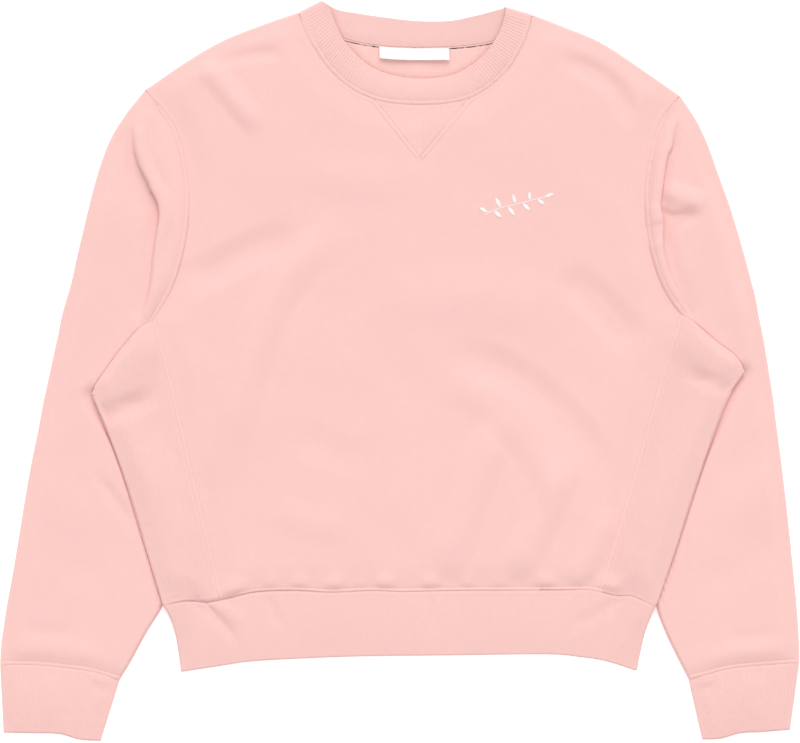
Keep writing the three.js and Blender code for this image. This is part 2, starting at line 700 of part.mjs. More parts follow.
// A sheet between four edges, each a list of points: bottom and top left to right, left and right upwards
// A grid between four lines. The sides' own shape is carried in over a share of the width, or all across
function patch(bottom, top, left, right, acrossShare, upShare, reach = 1) {
  const out = [];
  const c00 = bottom[0];
  const c10 = bottom[bottom.length - 1];
  const c01 = top[0];
  const c11 = top[top.length - 1];
  for (let i = 0; i < left.length; i += 1) {
    const v = upShare[i];
    const row = [];
    for (let j = 0; j < bottom.length; j += 1) {
      const u = acrossShare[j];
      const fromLeft = reach < 1 ? 1 - ease(0, reach, u) : 1 - u;
      const fromRight = reach < 1 ? ease(1 - reach, 1, u) : u;
      const mix = (key) => {
        const leftBy = left[i][key] - lerp(c00[key], c01[key], v);
        const rightBy = right[i][key] - lerp(c10[key], c11[key], v);
        return lerp(bottom[j][key], top[j][key], v) + fromLeft * leftBy + fromRight * rightBy;
      };
      row.push({ x: mix('x'), y: mix('y') });
    }
    out.push(row);
  }
  return out;
}

function shares(line) {
  const sums = lengths(line);
  return sums.map((s) => s / sums[sums.length - 1]);
}

// The body's edge from the hem up the side seam and armhole to the shoulder point, moved in by the seam gap
function bodySide(hand) {
  const o = outline[hand];
  const up = [...seamStations[hand]].reverse();
  const armhole = [...o.armhole].reverse();
  const line = [...up, ...armhole.slice(1), o.shoulder[0]];
  return line.map((p) => ({ x: p.x - o.hand * SEAM * 0.5, y: p.y }));
}

// Top edge of a panel, right shoulder to left: each point has its share of the shoulder's roll and a way in
function topEdge(neck, shoulderCells) {
  const out = [];
  const put = (p, nx, ny, roll) => out.push({ x: p.x, y: p.y, nx, ny, roll });
  const shoulderPoint = (hand, k) => {
    const share = k / shoulderCells;
    const inward = lerp(0.69, 0.05, share);
    const p = along(outline[hand].shoulder, lerp(0.004, 0.992, share));
    put(p, -outline[hand].hand * inward, -Math.sqrt(1 - inward * inward), 1);
  };
  for (let k = 0; k <= shoulderCells; k += 1) shoulderPoint('right', k);
  neck.forEach((p, k) => {
    const a = neck[Math.max(0, k - 1)];
    const b = neck[Math.min(neck.length - 1, k + 1)];
    const span = distance(a, b);
    put(p, (b.y - a.y) / span, -(b.x - a.x) / span, 0);
  });
  for (let k = shoulderCells; k >= 0; k -= 1) shoulderPoint('left', k);
  return out;
}

// Share of a panel's width over which a side edge's own shape is carried in
const SIDE_REACH = 0.24;

function panelCloth(top, rollAngles, height) {
  const cloth = new Cloth();
  const left = bodySide('right');
  const right = bodySide('left');
  const count = top.length;
  const x0 = top[0].x;
  const x1 = top[count - 1].x;
  const across = top.map((p) => (p.x - x0) / (x1 - x0));
  const bottom = across.map((u) => {
    const x = lerp(left[0].x, right[0].x, u);
    return { x, y: height.hem(x) + SEAM * 0.5 };
  });
  left[0].y = bottom[0].y;
  right[0].y = bottom[count - 1].y;
  const up = shares(left).map((s, i) => (s + shares(right)[i]) / 2);
  const inner = top.map((p) => ({ x: p.x + p.nx * EDGE, y: p.y + p.ny * EDGE }));
  const lastLeft = left.length - 1;
  left[lastLeft] = { ...inner[0] };
  right[lastLeft] = { ...inner[count - 1] };
  const plan = patch(bottom, inner, left, right, across, up, SIDE_REACH);
  const rows = plan.map((row) => row.map((p) => cloth.add(p.x, p.y, height.z(p.x, p.y))));
  for (const angle of rollAngles) {
    const a = THREE.MathUtils.degToRad(angle);
    const step = (90 - Math.abs(angle)) / 90;
    rows.push(top.map((p, j) => {
      if (p.roll) {
        const inset = EDGE - FOLD_R * Math.cos(a);
        return cloth.add(p.x + p.nx * inset, p.y + p.ny * inset, FOLD_Z + FOLD_R * Math.sin(a));
      }
      const inset = lerp(EDGE, SEAM * 0.5, Math.min(1, step * height.neckReach));
      const q = { x: p.x + p.nx * inset, y: p.y + p.ny * inset };
      return cloth.add(q.x, q.y, height.z(plan[plan.length - 1][j].x, plan[plan.length - 1][j].y));
    }));
  }
  cloth.join(rows);
  return { cloth, hem: bottom };
}

function hemY(line) {
  return (x) => {
    for (let i = 0; i + 1 < line.length; i += 1) {
      if (x <= line[i + 1].x || i + 2 === line.length) {
        return lerp(line[i].y, line[i + 1].y, (x - line[i].x) / (line[i + 1].x - line[i].x));
      }
    }
    return line[0].y;
  };
}

// The neck seam as the front's and the insert's columns have it
function neckChord() {
  const from = INSERT_FROM * 2;
  const to = INSERT_TO * 2;
  return neckSeam.filter((p, k) => (k >= from && k <= to) || k % 2 === 0);
}

// Neck edge of the front with the notch for the insert
function frontNeck() {
  const seam = neckSeam;
  const from = INSERT_FROM * 2;
  const to = INSERT_TO * 2;
  const out = [];
  for (let k = 2; k <= from; k += 2) out.push(seam[k]);
  out.push(between(seam[from], INSERT_APEX, 0.35), between(seam[from], INSERT_APEX, 0.7), INSERT_APEX);
  out.push(between(INSERT_APEX, seam[to], 0.3), between(INSERT_APEX, seam[to], 0.65), seam[to]);
  for (let k = to + 2; k < seam.length - 1; k += 2) out.push(seam[k]);
  return out;
}

function frontPanel() {
  const top = topEdge(frontNeck(), 5);
  return panelCloth(top, [55, 20], { z: bodyHigh, hem: hemY(hemSeam), neckReach: 1.3 });
}

function backPanel() {
  const neck = smoothLine(BACK_SEAM, 1).slice(1, -1);
  const top = topEdge(neck, 3);
  return panelCloth(top, [-70], { z: bodyLow, hem: hemY(backHem), neckReach: 5 });
}

// Side panels
const SIDE_UPPER = 6;
const SIDE_LOWER = 6;
// The way out of the body at each side fold, as x and y parts
const FOLD_WAY = { right: [0.94, 0.34], left: [0.98, 0.2] };

function sideCloth(hand) {
  const o = outline[hand];
  const cloth = new Cloth();
  const stations = seamStations[hand].map((p) => ({ x: p.x + o.hand * SEAM * 0.5, y: p.y }));
  const corner = between(stations[0], stations[1], 0.05);
  const first = [corner, between(stations[0], stations[1], 0.16), between(stations[0], stations[1], 0.42)];
  const front = [...first, ...stations.slice(1)];
  const up = shares(front);
  const foldLine = up.map((s) => along(o.fold, s));
  const [wayX, wayY] = FOLD_WAY[hand];
  const foldEnd = foldLine.map((p) => ({ x: p.x - o.hand * EDGE * wayX, y: p.y - EDGE * wayY }));
  const last = front.length - 1;
  front[last].y = hemY(hemSeam)(front[last].x) + SEAM * 0.5;
  foldEnd[last].y = hemY(hemSeam)(foldEnd[last].x) + SEAM * 0.5;
  const level = (count) => Array.from({ length: count + 1 }, (unused, k) => k / count);
  const across = level(SIDE_UPPER);
  const ridgeTop = across.map((s) => inside(o.ridge, s, lerp(SEAM, 0, ease(0.1, 0.3, s)), o.hand));
  ridgeTop[0] = front[0];
  ridgeTop[SIDE_UPPER] = foldEnd[0];
  const hem = across.map((s) => {
    const x = lerp(front[last].x, foldEnd[last].x, s);
    return { x, y: hemY(hemSeam)(x) + SEAM * 0.5 };
  });
  const upper = patch(ridgeTop, hem, front, foldEnd, across, up);
  const acrossLow = level(SIDE_LOWER);
  const lapTop = acrossLow.map((s) => {
    const lap = lerp(ridgeLap(s) + 0.9, EDGE, ease(0.84, 1, s));
    return inside(o.ridge, s, lap, o.hand);
  });
  const frontLow = front.map((p) => ({ ...p }));
  lapTop[0] = { x: front[0].x, y: front[0].y - 0.6 };
  frontLow[0] = lapTop[0];
  lapTop[SIDE_LOWER] = foldEnd[0];
  const hemLow = acrossLow.map((s) => {
    const x = lerp(front[last].x, foldEnd[last].x, s);
    return { x, y: hemY(backHem)(x) + SEAM * 0.5 };
  });
  frontLow[last] = hemLow[0];
  hemLow[SIDE_LOWER] = foldEnd[last];
  const lower = patch(lapTop, hemLow, frontLow, foldEnd, acrossLow, up);
  const rows = upper.map((row, i) => {
    const out = row.map((p, j) => {
      const ridge = nearest(o.ridge, p.x, p.y);
      const s = ridge.run / ridge.total;
      const ends = ease(0.15, 0.4, s) * (1 - ease(0.72, 0.94, s));
      const drop = RIDGE_DROP * ends * (1 - ease(0, RIDGE_ROUND, ridge.d));
      return cloth.add(p.x, p.y, bodyHigh(p.x, p.y) - drop);
    });
    const end = foldEnd[i];
    const raised = lift(end.x, end.y);
    const top = bodyHigh(end.x, end.y);
    const arc = foldArc(end, o.hand * wayX, wayY, FOLD_Z + raised, 90, -90, 4).slice(1, -1);
    for (const [x, y, z] of arc) out.push(cloth.add(x, y, z + (top - HIGH - raised) * 0.5));
    for (let j = SIDE_LOWER; j >= 0; j -= 1) {
      const p = lower[i][j];
      out.push(cloth.add(p.x, p.y, bodyLow(p.x, p.y)));
    }
    return out;
  });
  cloth.join(rows);
  return { cloth, hem, hemLow };
}

// Flattened ribbed rings: hem band and cuffs

function ringRows(sections, columns) {
  return sections.map((section) => columns.map((c) => {
    if (c.layer === 'upper') {
      const p = section.upper(c.share);
      return new THREE.Vector3(p.x, p.y, section.high(p.x, p.y));
    }
    if (c.layer === 'lower') {
      const p = section.lower(c.share);
      return new THREE.Vector3(p.x, p.y, section.low(p.x, p.y));
    }
    const end = section.end(c.layer);
    const angle = THREE.MathUtils.degToRad(c.angle);
    const reach = FOLD_R * Math.cos(angle);
    const z = (section.high(end.x, end.y) + section.low(end.x, end.y)) / 2 + FOLD_R * Math.sin(angle);
    return new THREE.Vector3(end.x + end.ux * reach, end.y + end.uy * reach, z);
  }));
}

// Columns round a flattened ring: over the top, round one fold, back underneath and round the other fold
function ringColumns(upperCells, lowerCells, ribbed) {
  const out = [];
  for (let k = 0; k <= upperCells; k += 1) {
    out.push({ layer: 'upper', share: k / upperCells, rib: ribbed && k % 2 === 1 });
  }
  for (const angle of [45, 0, -45]) out.push({ layer: 'end', angle });
  const closeToEnds = (k) => 0.5 - 0.5 * Math.cos((Math.PI * k) / lowerCells);
  for (let k = lowerCells; k >= 0; k -= 1) out.push({ layer: 'lower', share: closeToEnds(k) });
  for (const angle of [-45, 0, 45]) out.push({ layer: 'start', angle });
  out.push(out[0]);
  return out;
}

// Shares round the ring at which the fine and the coarse skin are tied together
function ringShares(columns) {
  const turns = { upper: 0, end: 0.4, lower: 0.5, start: 0.9 };
  return columns.map((c, k) => {
    if (k === columns.length - 1) return 1;
    if (c.layer === 'upper') return 0.4 * c.share;
    if (c.layer === 'lower') return 0.5 + 0.4 * (1 - c.share);
    return turns[c.layer] + 0.1 * (c.layer === 'end' ? (90 - c.angle) / 180 : (90 + c.angle) / 180);
  });
}

function ribbedRing(sections, ribs, innerCells, lowerCells) {
  const fine = ringColumns(ribs * 2, lowerCells, true);
  const coarse = ringColumns(innerCells, lowerCells, false);
  const outer = offsetRows(ringRows(sections, fine), true, (j) => HALF + (fine[j].rib ? RIB : 0));
  const inner = offsetRows(ringRows(sections, coarse), true, () => -HALF);
  const crests = (columns) => columns.map((c) => Boolean(c.rib));
  return ribbedWall(outer, ringShares(fine), crests(fine), inner, ringShares(coarse), crests(coarse), true);
}

// Lines from side fold to side fold, drawn in from both folds so that the arcs have room
function drawnIn(line, share) {
  const total = lengths(line)[line.length - 1];
  return along(line, (EDGE + (total - 2 * EDGE) * share) / total);
}

const HEM_STEPS = [0, 0.45, 1];
const LIFT_GAP = 0.12;

function hemBand(chords) {
  const seamY = hemY(chords.upper);
  const backY = hemY(chords.lower);
  const edgeY = hemY(smoothLine(HEM_EDGE, 2));
  const sideR = smoothLine(HEM_SIDES.right, 4);
  const sideL = smoothLine(HEM_SIDES.left, 4);
  const top = { a: sideR[0].x + EDGE, b: sideL[0].x - EDGE };
  const foot = { a: sideR[sideR.length - 1].x + EDGE, b: sideL[sideL.length - 1].x - EDGE };
  const sections = HEM_STEPS.map((v) => {
    const a = along(sideR, v).x + EDGE;
    const b = along(sideL, v).x - EDGE;
    const layer = (topY) => (share) => {
      const x = lerp(top.a, top.b, share);
      const high = topY(x) - SEAM * 1.6 - LIFT_GAP * lift(x, topY(x));
      const low = edgeY(lerp(foot.a, foot.b, share));
      return { x: lerp(a, b, share), y: lerp(high, low, v) };
    };
    const upper = layer(seamY);
    const lower = layer(backY);
    const high = (x, y) => {
      const edgeGap = Math.min(nearest(sideR, x, y).d, nearest(sideL, x, y).d);
      const loft = LOFT_SEAM + 1.2 * Math.sin(Math.PI * v) + foldHeight(hemFolds, x, y);
      return HIGH + lift(x, y) + Math.max(0, loft) * ease(2, 20, edgeGap);
    };
    const end = (which) => {
      const share = which === 'start' ? 0 : 1;
      return { ...upper(share), ux: which === 'start' ? -1 : 1, uy: 0 };
    };
    return { upper, lower, high, low: bodyLow, end };
  });
  return ribbedRing(sections, HEM_RIBS, 36, 20);
}

const CUFF_STEPS = [0, 0.45, 1];

function cuff(hand) {
  const sign = outline[hand].hand;
  const { seam, edge } = CUFFS[hand];
  const upperY = hemY(cuffChord(hand, SLEEVE_UPPER));
  const lowerY = hemY(cuffChord(hand, SLEEVE_LOWER));
  const foot = smoothLine(edge, 2);
  const { inn, out } = cuffEnds[hand];
  const sections = CUFF_STEPS.map((v) => {
    const layer = (topY) => (share) => {
      const x = lerp(out.x, inn.x, share);
      return between({ x, y: topY(x) - SEAM }, drawnIn(foot, share), v);
    };
    const upper = layer(upperY);
    const a = between(seam[0], foot[0], v);
    const b = between(seam[seam.length - 1], foot[foot.length - 1], v);
    const high = (x, y) => {
      const edgeGap = Math.min(Math.hypot(x - a.x, y - a.y), Math.hypot(x - b.x, y - b.y));
      const loft = LOFT_SEAM + 1.4 * Math.sin(Math.PI * v) + foldHeight(cuffFolds[hand], x, y);
      return HIGH + Math.max(0, loft) * ease(2, 16, edgeGap);
    };
    const end = (which) => {
      const p = upper(which === 'start' ? 0 : 1);
      return { ...p, ux: which === 'start' ? sign : -sign, uy: 0 };
    };
    return { upper, lower: layer(lowerY), high, low: () => LOW, end };
  });
  return ribbedRing(sections, CUFF_RIBS, 10, 6);
}

// Collar band

const COLLAR_STEPS = [0, 0.3, 0.72, 1];
const COLLAR_LOFT = 1.5;
const BACK_RISE = 2.4;

// A line moved sideways, to its left
function offsetLine(line, by) {
  return line.map((p, k) => {
    const a = line[Math.max(0, k - 1)];
    const b = line[Math.min(line.length - 1, k + 1)];
    const span = distance(a, b);
    return { x: p.x - ((b.y - a.y) / span) * by, y: p.y + ((b.x - a.x) / span) * by };
  });
}

function collarSections() {
  const seamFront = offsetLine(neckChord(), SEAM * 1.2);
  const freeFront = smoothLine(NECK_FREE, 2);
  const seamBack = offsetLine(BACK_SEAM, SEAM * 0.5);
  const freeBack = smoothLine(BACK_FREE, 3);
  return COLLAR_STEPS.map((v) => ({
    v,
    front: (share) => between(drawnIn(seamFront, share), drawnIn(freeFront, share), v),
    back: (share) => between(drawnIn(seamBack, share), drawnIn(freeBack, share), v),
  }));
}

// One row of the collar: along the front from the right tip, round the left tip, and back behind the neck
function collarRow(section, frontCells, backCells) {
  const row = [];
  const { v } = section;
  const bulge = Math.sin(Math.PI * Math.min(1, v * 0.96 + 0.02));
  for (let k = 0; k <= frontCells; k += 1) {
    const share = k / frontCells;
    const p = section.front(share);
    const full = ease(0, 0.14, share) * ease(0, 0.14, 1 - share);
    const z = HIGH + full * (LOFT_SEAM + COLLAR_LOFT * bulge);
    row.push({ p: new THREE.Vector3(p.x, p.y, z), share: 0.45 * share, k, part: 'front' });
  }
  const tip = (share, dir) => {
    const f = section.front(share);
    const b = section.back(share);
    const mid = between(f, b, 0.5);
    const fNear = section.front(share === 0 ? 0.02 : 0.98);
    const bNear = section.back(share === 0 ? 0.02 : 0.98);
    const inwardX = (fNear.x + bNear.x) / 2 - mid.x;
    const inwardY = (fNear.y + bNear.y) / 2 - mid.y;
    const span = Math.hypot(inwardX, inwardY);
    return [45, 0, -45].map((angle) => {
      const a = THREE.MathUtils.degToRad(angle);
      const t = 0.5 - 0.5 * Math.sin(a);
      const base = between(f, b, t);
      const reach = -FOLD_R * Math.cos(a) / span;
      const z = FOLD_Z + FOLD_R * Math.sin(a);
      return new THREE.Vector3(base.x + inwardX * reach, base.y + inwardY * reach, z);
    }).map((p, k) => {
      const step = 0.0125 * (k + 1);
      return { p, share: dir === 'left' ? 0.45 + step : 1 - step, part: 'tip' };
    });
  };
  row.push(...tip(1, 'left'));
  for (let k = backCells; k >= 0; k -= 1) {
    const share = k / backCells;
    const p = section.back(share);
    const full = ease(0.05, 0.3, share) * ease(0.05, 0.3, 1 - share);
    const z = LOW + full * BACK_RISE * ease(0, 1, v);
    row.push({ p: new THREE.Vector3(p.x, p.y, z), share: 0.5 + 0.45 * (1 - share), k, part: 'back' });
  }
  row.push(...tip(0, 'right').reverse());
  row.push({ ...row[0], share: 1 });
  return row;
}

// The face that shows is the outer one along the front and the inner one behind the neck, and the ribs are
// there
function collarBand() {
  const sections = collarSections();
  const grid = (front, back) => sections.map((section) => collarRow(section, front, back));
  const outerGrid = grid(COLLAR_FRONT_RIBS * 2, 20);
  const innerGrid = grid(24, COLLAR_BACK_RIBS * 2);
  const points = (rows) => rows.map((row) => row.map((c) => c.p));
  const ribs = (rows, part) => rows[0].map((c) => c.part === part && c.k % 2 === 1);
  const shareOf = (rows) => rows[0].map((c) => c.share);
  const front = ribs(outerGrid, 'front');
  const back = ribs(innerGrid, 'back');
  const outer = offsetRows(points(outerGrid), true, (j) => HALF + (front[j] ? RIB : 0));
  const inner = offsetRows(points(innerGrid), true, (j) => -HALF - (back[j] ? RIB : 0));
  return ribbedWall(outer, shareOf(outerGrid), front, inner, shareOf(innerGrid), back, true);
}

// Neck insert
const INSERT_CLEAR = 0.35;
const INSERT_STEPS = [0, 0.4, 1];

function neckInsert() {
  const from = neckSeam[INSERT_FROM * 2];
  const to = neckSeam[INSERT_TO * 2];
  const top = neckSeam.slice(INSERT_FROM * 2, INSERT_TO * 2 + 1);
  const topY = hemY(top);
  const slopeGap = INSERT_CLEAR * 1.35;
  const lowY = (x) => {
    const left = lerp(from.y, INSERT_APEX.y, (x - from.x) / (INSERT_APEX.x - from.x));
    const right = lerp(INSERT_APEX.y, to.y, (x - INSERT_APEX.x) / (to.x - INSERT_APEX.x));
    return (x < INSERT_APEX.x ? left : right) + slopeGap;
  };
  const x0 = from.x + 1.6;
  const x1 = to.x - 1.6;
  const build = (cells) => INSERT_STEPS.map((v) => {
    const row = [];
    for (let k = 0; k <= cells; k += 1) {
      const x = lerp(x0, x1, k / cells);
      const y = lerp(lowY(x), topY(x) - INSERT_CLEAR, v);
      row.push(new THREE.Vector3(x, y, bodyHigh(x, y)));
    }
    return row;
  });
  const fine = build(INSERT_RIBS * 2);
  const coarse = build(12);
  const outer = offsetRows(fine, false, (j) => HALF + (j % 2 === 1 ? RIB : 0));
  const inner = offsetRows(coarse, false, () => -HALF);
  const even = (rows) => rows[0].map((p, k) => k / (rows[0].length - 1));
  const ribs = fine[0].map((p, k) => k % 2 === 1);
  const plain = coarse[0].map(() => false);
  return ribbedWall(outer, even(fine), ribs, inner, even(coarse), plain, false);
}

// Label
function neckLabel() {
  const cloth = new Cloth();
  const seamY = hemY(smoothLine(BACK_SEAM, 3));
  const rows = [];
  for (let i = 0; i <= LABEL.rows; i += 1) {
    const v = i / LABEL.rows;
    const row = [];
    for (let j = 0; j <= LABEL.columns; j += 1) {
      const x = lerp(LABEL.x0, LABEL.x1, j / LABEL.columns);
      const y = Math.min(seamY(x) - SEAM - LABEL.top, 300.2 + (x - LABEL.x0) * LABEL.tilt) - LABEL.drop * v;
      const z = WALL + 0.3 + LABEL.thick / 2 + LABEL.lift * v * v + 0.5 * v * Math.sin(j * 1.1);
      row.push(cloth.add(x + v * 0.5, y, z));
    }
    rows.push(row);
  }
  cloth.join(rows);
  return thicken(cloth, LABEL.thick / 2);
}

// Materials, one for each kind of cloth
const ROUGH = 0.92;

function clothMaterial(name, colour) {
  const material = new THREE.MeshStandardMaterial({ color: colour, roughness: ROUGH, metalness: 0 });
  material.name = name;
  return material;
}

const PINK = '#f8cbc6';
const PINK_INSIDE = '#f3c2bd';
const PINK_RIB = '#f7c8c3';
const LABEL_WHITE = '#f6f2ee';

const group = new THREE.Group();

function piece(name, geometry, colour) {
  const mesh = new THREE.Mesh(geometry, clothMaterial(name, colour));
  mesh.name = name;
  group.add(mesh);
}

const front = frontPanel();
const back = backPanel();
piece('front_panel', thicken(front.cloth, HALF), PINK);
piece('back_panel', thicken(back.cloth, HALF), PINK_INSIDE);
const hemChords = { upper: [...front.hem], lower: [...back.hem] };
for (const hand of HANDS) {
  const side = sideCloth(hand);
  hemChords.upper.push(...side.hem);
  hemChords.lower.push(...side.hemLow);
  piece(`side_panel_${hand}`, thicken(side.cloth, HALF), PINK_RIB);
  piece(`sleeve_${hand}`, thicken(sleeveCloth(hand), HALF), PINK);
  piece(`cuff_${hand}`, cuff(hand), PINK_RIB);
}
hemChords.upper.sort((a, b) => a.x - b.x);
hemChords.lower.sort((a, b) => a.x - b.x);
piece('hem_band', hemBand(hemChords), PINK_RIB);
piece('collar_band', collarBand(), PINK_RIB);
piece('neck_insert', neckInsert(), PINK_RIB);
piece('neck_label', neckLabel(), LABEL_WHITE);

// The origin is the middle of the whole outline, at the surface the garment lies on
const middle = new THREE.Box3().setFromObject(group).getCenter(new THREE.Vector3());
group.position.set(-middle.x, -middle.y, 0);

export default group;
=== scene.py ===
"""Crewneck sweatshirt laid flat on its back, front up.

Tables are in millimetres on the garment's own plan: +X across the chest, +Y from the hem to the neck and +Z up.
Right and left are the wearer's, so the right sleeve is on the -X side.
"""
import math

import bmesh
import bpy
import numpy as np
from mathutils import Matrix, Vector


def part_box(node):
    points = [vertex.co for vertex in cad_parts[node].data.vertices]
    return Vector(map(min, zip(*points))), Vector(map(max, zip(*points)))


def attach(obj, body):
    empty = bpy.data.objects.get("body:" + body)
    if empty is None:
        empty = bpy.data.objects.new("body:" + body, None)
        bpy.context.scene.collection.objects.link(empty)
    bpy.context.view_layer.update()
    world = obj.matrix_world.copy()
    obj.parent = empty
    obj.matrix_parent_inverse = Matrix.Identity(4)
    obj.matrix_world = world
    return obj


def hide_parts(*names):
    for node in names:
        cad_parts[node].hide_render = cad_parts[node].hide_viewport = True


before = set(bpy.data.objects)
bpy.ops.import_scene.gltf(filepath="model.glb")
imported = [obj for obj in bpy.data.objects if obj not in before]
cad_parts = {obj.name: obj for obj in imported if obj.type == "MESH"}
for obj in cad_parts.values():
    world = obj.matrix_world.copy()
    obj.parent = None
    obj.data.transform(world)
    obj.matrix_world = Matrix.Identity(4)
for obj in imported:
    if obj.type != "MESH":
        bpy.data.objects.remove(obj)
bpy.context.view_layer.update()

bl_info = {
    "name": "Crewneck Sweatshirt",
    "version": (1, 0, 0),
    "blender": (4, 5, 0),
    "location": "View3D > Sidebar > Sweatshirt",
    "description": "Builds a flat-laid crewneck sweatshirt, its knit materials and a studio stage",
    "category": "Object",
}

# Heights of the two layers' middles, in mm above the surface the garment lies on
LOW = 1.0
HIGH = 4.0
FOLD_Z = 2.5
FOLD_R = 1.5
EDGE = 2.5
SEAM = 0.6
JOIN = 0.06
LIFT = 5.2
LIFT_FLAT = 2
LIFT_RUN = 36
LOFT_SEAM = 0.8
LOFT = 3.4
LOFT_RUN = 26
FOLD_RUN = 20
HEM_RIBS = 180
CUFF_RIBS = 44
COLLAR_FRONT_RIBS = 96
COLLAR_BACK_RIBS = 76
INSERT_RIBS = 32
SIDE_RIBS = 28
RIDGE_LAP = 7
UNDERARM = 8
TIP = 13
INSERT_FROM = 5
INSERT_TO = 9
INSERT_APEX = (18.4, 196.8)
TABLE_LOW = (-367.8, -339.8)

# Each sleeve from the crown to the cuff: outer fold x y, and the armhole, ridge or hidden inner fold x y
SLEEVES = {
    "right": [
        (-234.6, 258.8, -220.8, 244.3), (-254, 234, -207, 224), (-267.5, 211, -199, 199),
        (-279.7, 176.2, -194.6, 169), (-289, 139.4, -195.2, 136), (-296.5, 108, -200.6, 106.3),
        (-303, 79, -208.8, 79.6), (-307.5, 64, -216.5, 64), (-311.5, 49, -227.2, 46.5),
        (-314, 36, -238, 38), (-317, 22.5, -248.5, 26.5), (-320, 8.5, -259, 13.5), (-324, -10, -271, -3.5),
        (-328, -28.5, -283.4, -21.6), (-333, -55, -266, -53), (-339, -84, -246, -82), (-345, -118, -226, -116),
        (-351, -155, -214, -154), (-356.5, -188, -211.5, -188), (-361.5, -215, -218, -214.8),
        (-365, -238, -233, -240), (-367.2, -256, -247, -266), (-367.8, -269.5, -257.6, -283.4),
    ],
    "left": [
        (257.6, 253.5, 243.8, 238.7), (272.3, 231.4, 234, 217), (282.5, 210, 229.1, 196.4),
        (294, 178, 225.6, 171.6), (304, 150, 226, 143), (314, 117, 229.3, 117), (322.9, 84.2, 239.2, 84.2),
        (327.5, 66, 249.3, 65), (330.5, 49, 260.4, 51.1), (333.2, 36, 272, 40.5), (335.6, 23, 283, 31),
        (337.6, 11, 294, 22), (340.2, -6, 305.5, 13.5), (343.2, -26.2, 316.4, -1), (346.8, -54, 291, -37),
        (350.5, -81.4, 272, -68), (354.4, -114, 254, -102), (358, -146, 240, -136), (361.4, -180, 231, -172),
        (364.8, -214, 235.5, -216), (366.3, -236, 243.8, -239.7), (367.2, -254, 256, -265),
        (367.2, -267.5, 265, -282.6),
    ],
}
HAND = {"right": -1, "left": 1}
SIDE_FOLD = {
    "right": [(-283.4, -21.6), (-267.7, -59.3), (-253, -99.8), (-234.6, -159.6), (-218, -214.8)],
    "left": [(316.4, -1), (305.5, -17), (294.4, -41.9), (274.2, -99.8), (253.9, -162.4), (235.5, -216)],
}
SIDE_SEAM = {
    "right": [(-227.2, 46.5), (-209.5, -26), (-192.3, -99.8), (-166.5, -207.5)],
    "left": [(260.4, 51.1), (239, -20), (217.1, -99.8), (185.8, -203.5)],
}
SHOULDERS = {
    "right": [(-234.6, 258.8), (-202.4, 281.1), (-165.6, 303.1), (-128, 318.4), (-92.9, 330.5)],
    "left": [(257.6, 253.5), (220.8, 279.2), (184, 303.1), (151, 317), (121.2, 328.5)],
}
NECK_SEAM = [
    (-92.9, 330.5), (-87.4, 313.6), (-77.7, 296.1), (-63.7, 276.6), (-46, 260.8), (-23.9, 250.2), (-5.5, 246.4),
    (20.8, 245.2), (46, 246.8), (64.4, 251.4), (82.4, 261.7), (98.3, 276.6), (109.4, 294.2), (117.6, 313),
    (121.2, 328.5),
]
NECK_FREE = [
    (-71.8, 341), (-64.6, 333.9), (-60.2, 322.5), (-54, 308.4), (-44.3, 295.4), (-30.4, 282.6), (-14.4, 274.6),
    (5, 270.2), (26.1, 269.4), (47.2, 272.4), (63, 279.8), (78.8, 293.4), (87.7, 305.5), (93.8, 318.9),
    (97.5, 334.8),
]
BACK_SEAM = [
    (-92.9, 330.5), (-75.4, 316.4), (-54.3, 307.3), (-19.3, 300.2), (22.1, 298.4), (64.4, 300.4), (89.2, 305.4),
    (105.8, 315.2), (121.2, 328.5),
]
BACK_FREE = [
    (-71.8, 341), (-58, 333), (-42, 329.8), (-14, 325.6), (18, 322.2), (46.9, 322.6), (66, 326.4),
    (82, 330.4), (97.5, 334.8),
]
HEM_SEAM = [
    (-218, -214.8), (-205, -211.8), (-192.3, -210.7), (-178, -212), (-158.2, -208.4), (-135.2, -202.9),
    (-98.4, -201), (-65.3, -202.6), (-23.9, -200.9), (0, -201.9), (46, -201), (100, -200.7), (147.2, -200.5),
    (174.8, -200.3), (199.6, -205.6), (211.6, -205.4), (225.4, -210.8), (235.5, -216),
]
HEM_EDGE = [
    (-201.5, -276.3), (-184, -273.4), (-165.6, -270.6), (-142.6, -267), (-101.2, -264.2), (-36.8, -261.7),
    (46, -260.8), (110.4, -259.9), (147.2, -260.2), (165.6, -262.4), (184, -264.9), (202.4, -270), (218, -275.5),
]
HEM_SIDES = {
    "right": [(-218, -214.8), (-211.6, -225.5), (-207, -239.7), (-204.2, -256), (-201.5, -276.3)],
    "left": [(235.5, -216), (230.4, -226.5), (225.4, -239.7), (221.7, -256), (218, -275.5)],
}
BACK_HEM = [(-218, -214.8), (-150, -206), (0, -203), (150, -206), (235.5, -216)]
CUFF_SEAM = {
    "right": [(-367.8, -269.9), (-337.6, -270), (-307.3, -272.6), (-284.3, -276), (-257.6, -283.8)],
    "left": [(367.2, -267.9), (332.1, -270.2), (301.8, -273.7), (280, -279.3), (265, -283)],
}
CUFF_EDGE = {
    "right": [(-364.6, -331.9), (-338, -332.4), (-313, -333.2), (-294.4, -338.2), (-275.1, -339.6)],
    "left": [(358.8, -329.2), (331.2, -331.4), (312.8, -332.4), (294.4, -337.4), (277.8, -338.3)],
}

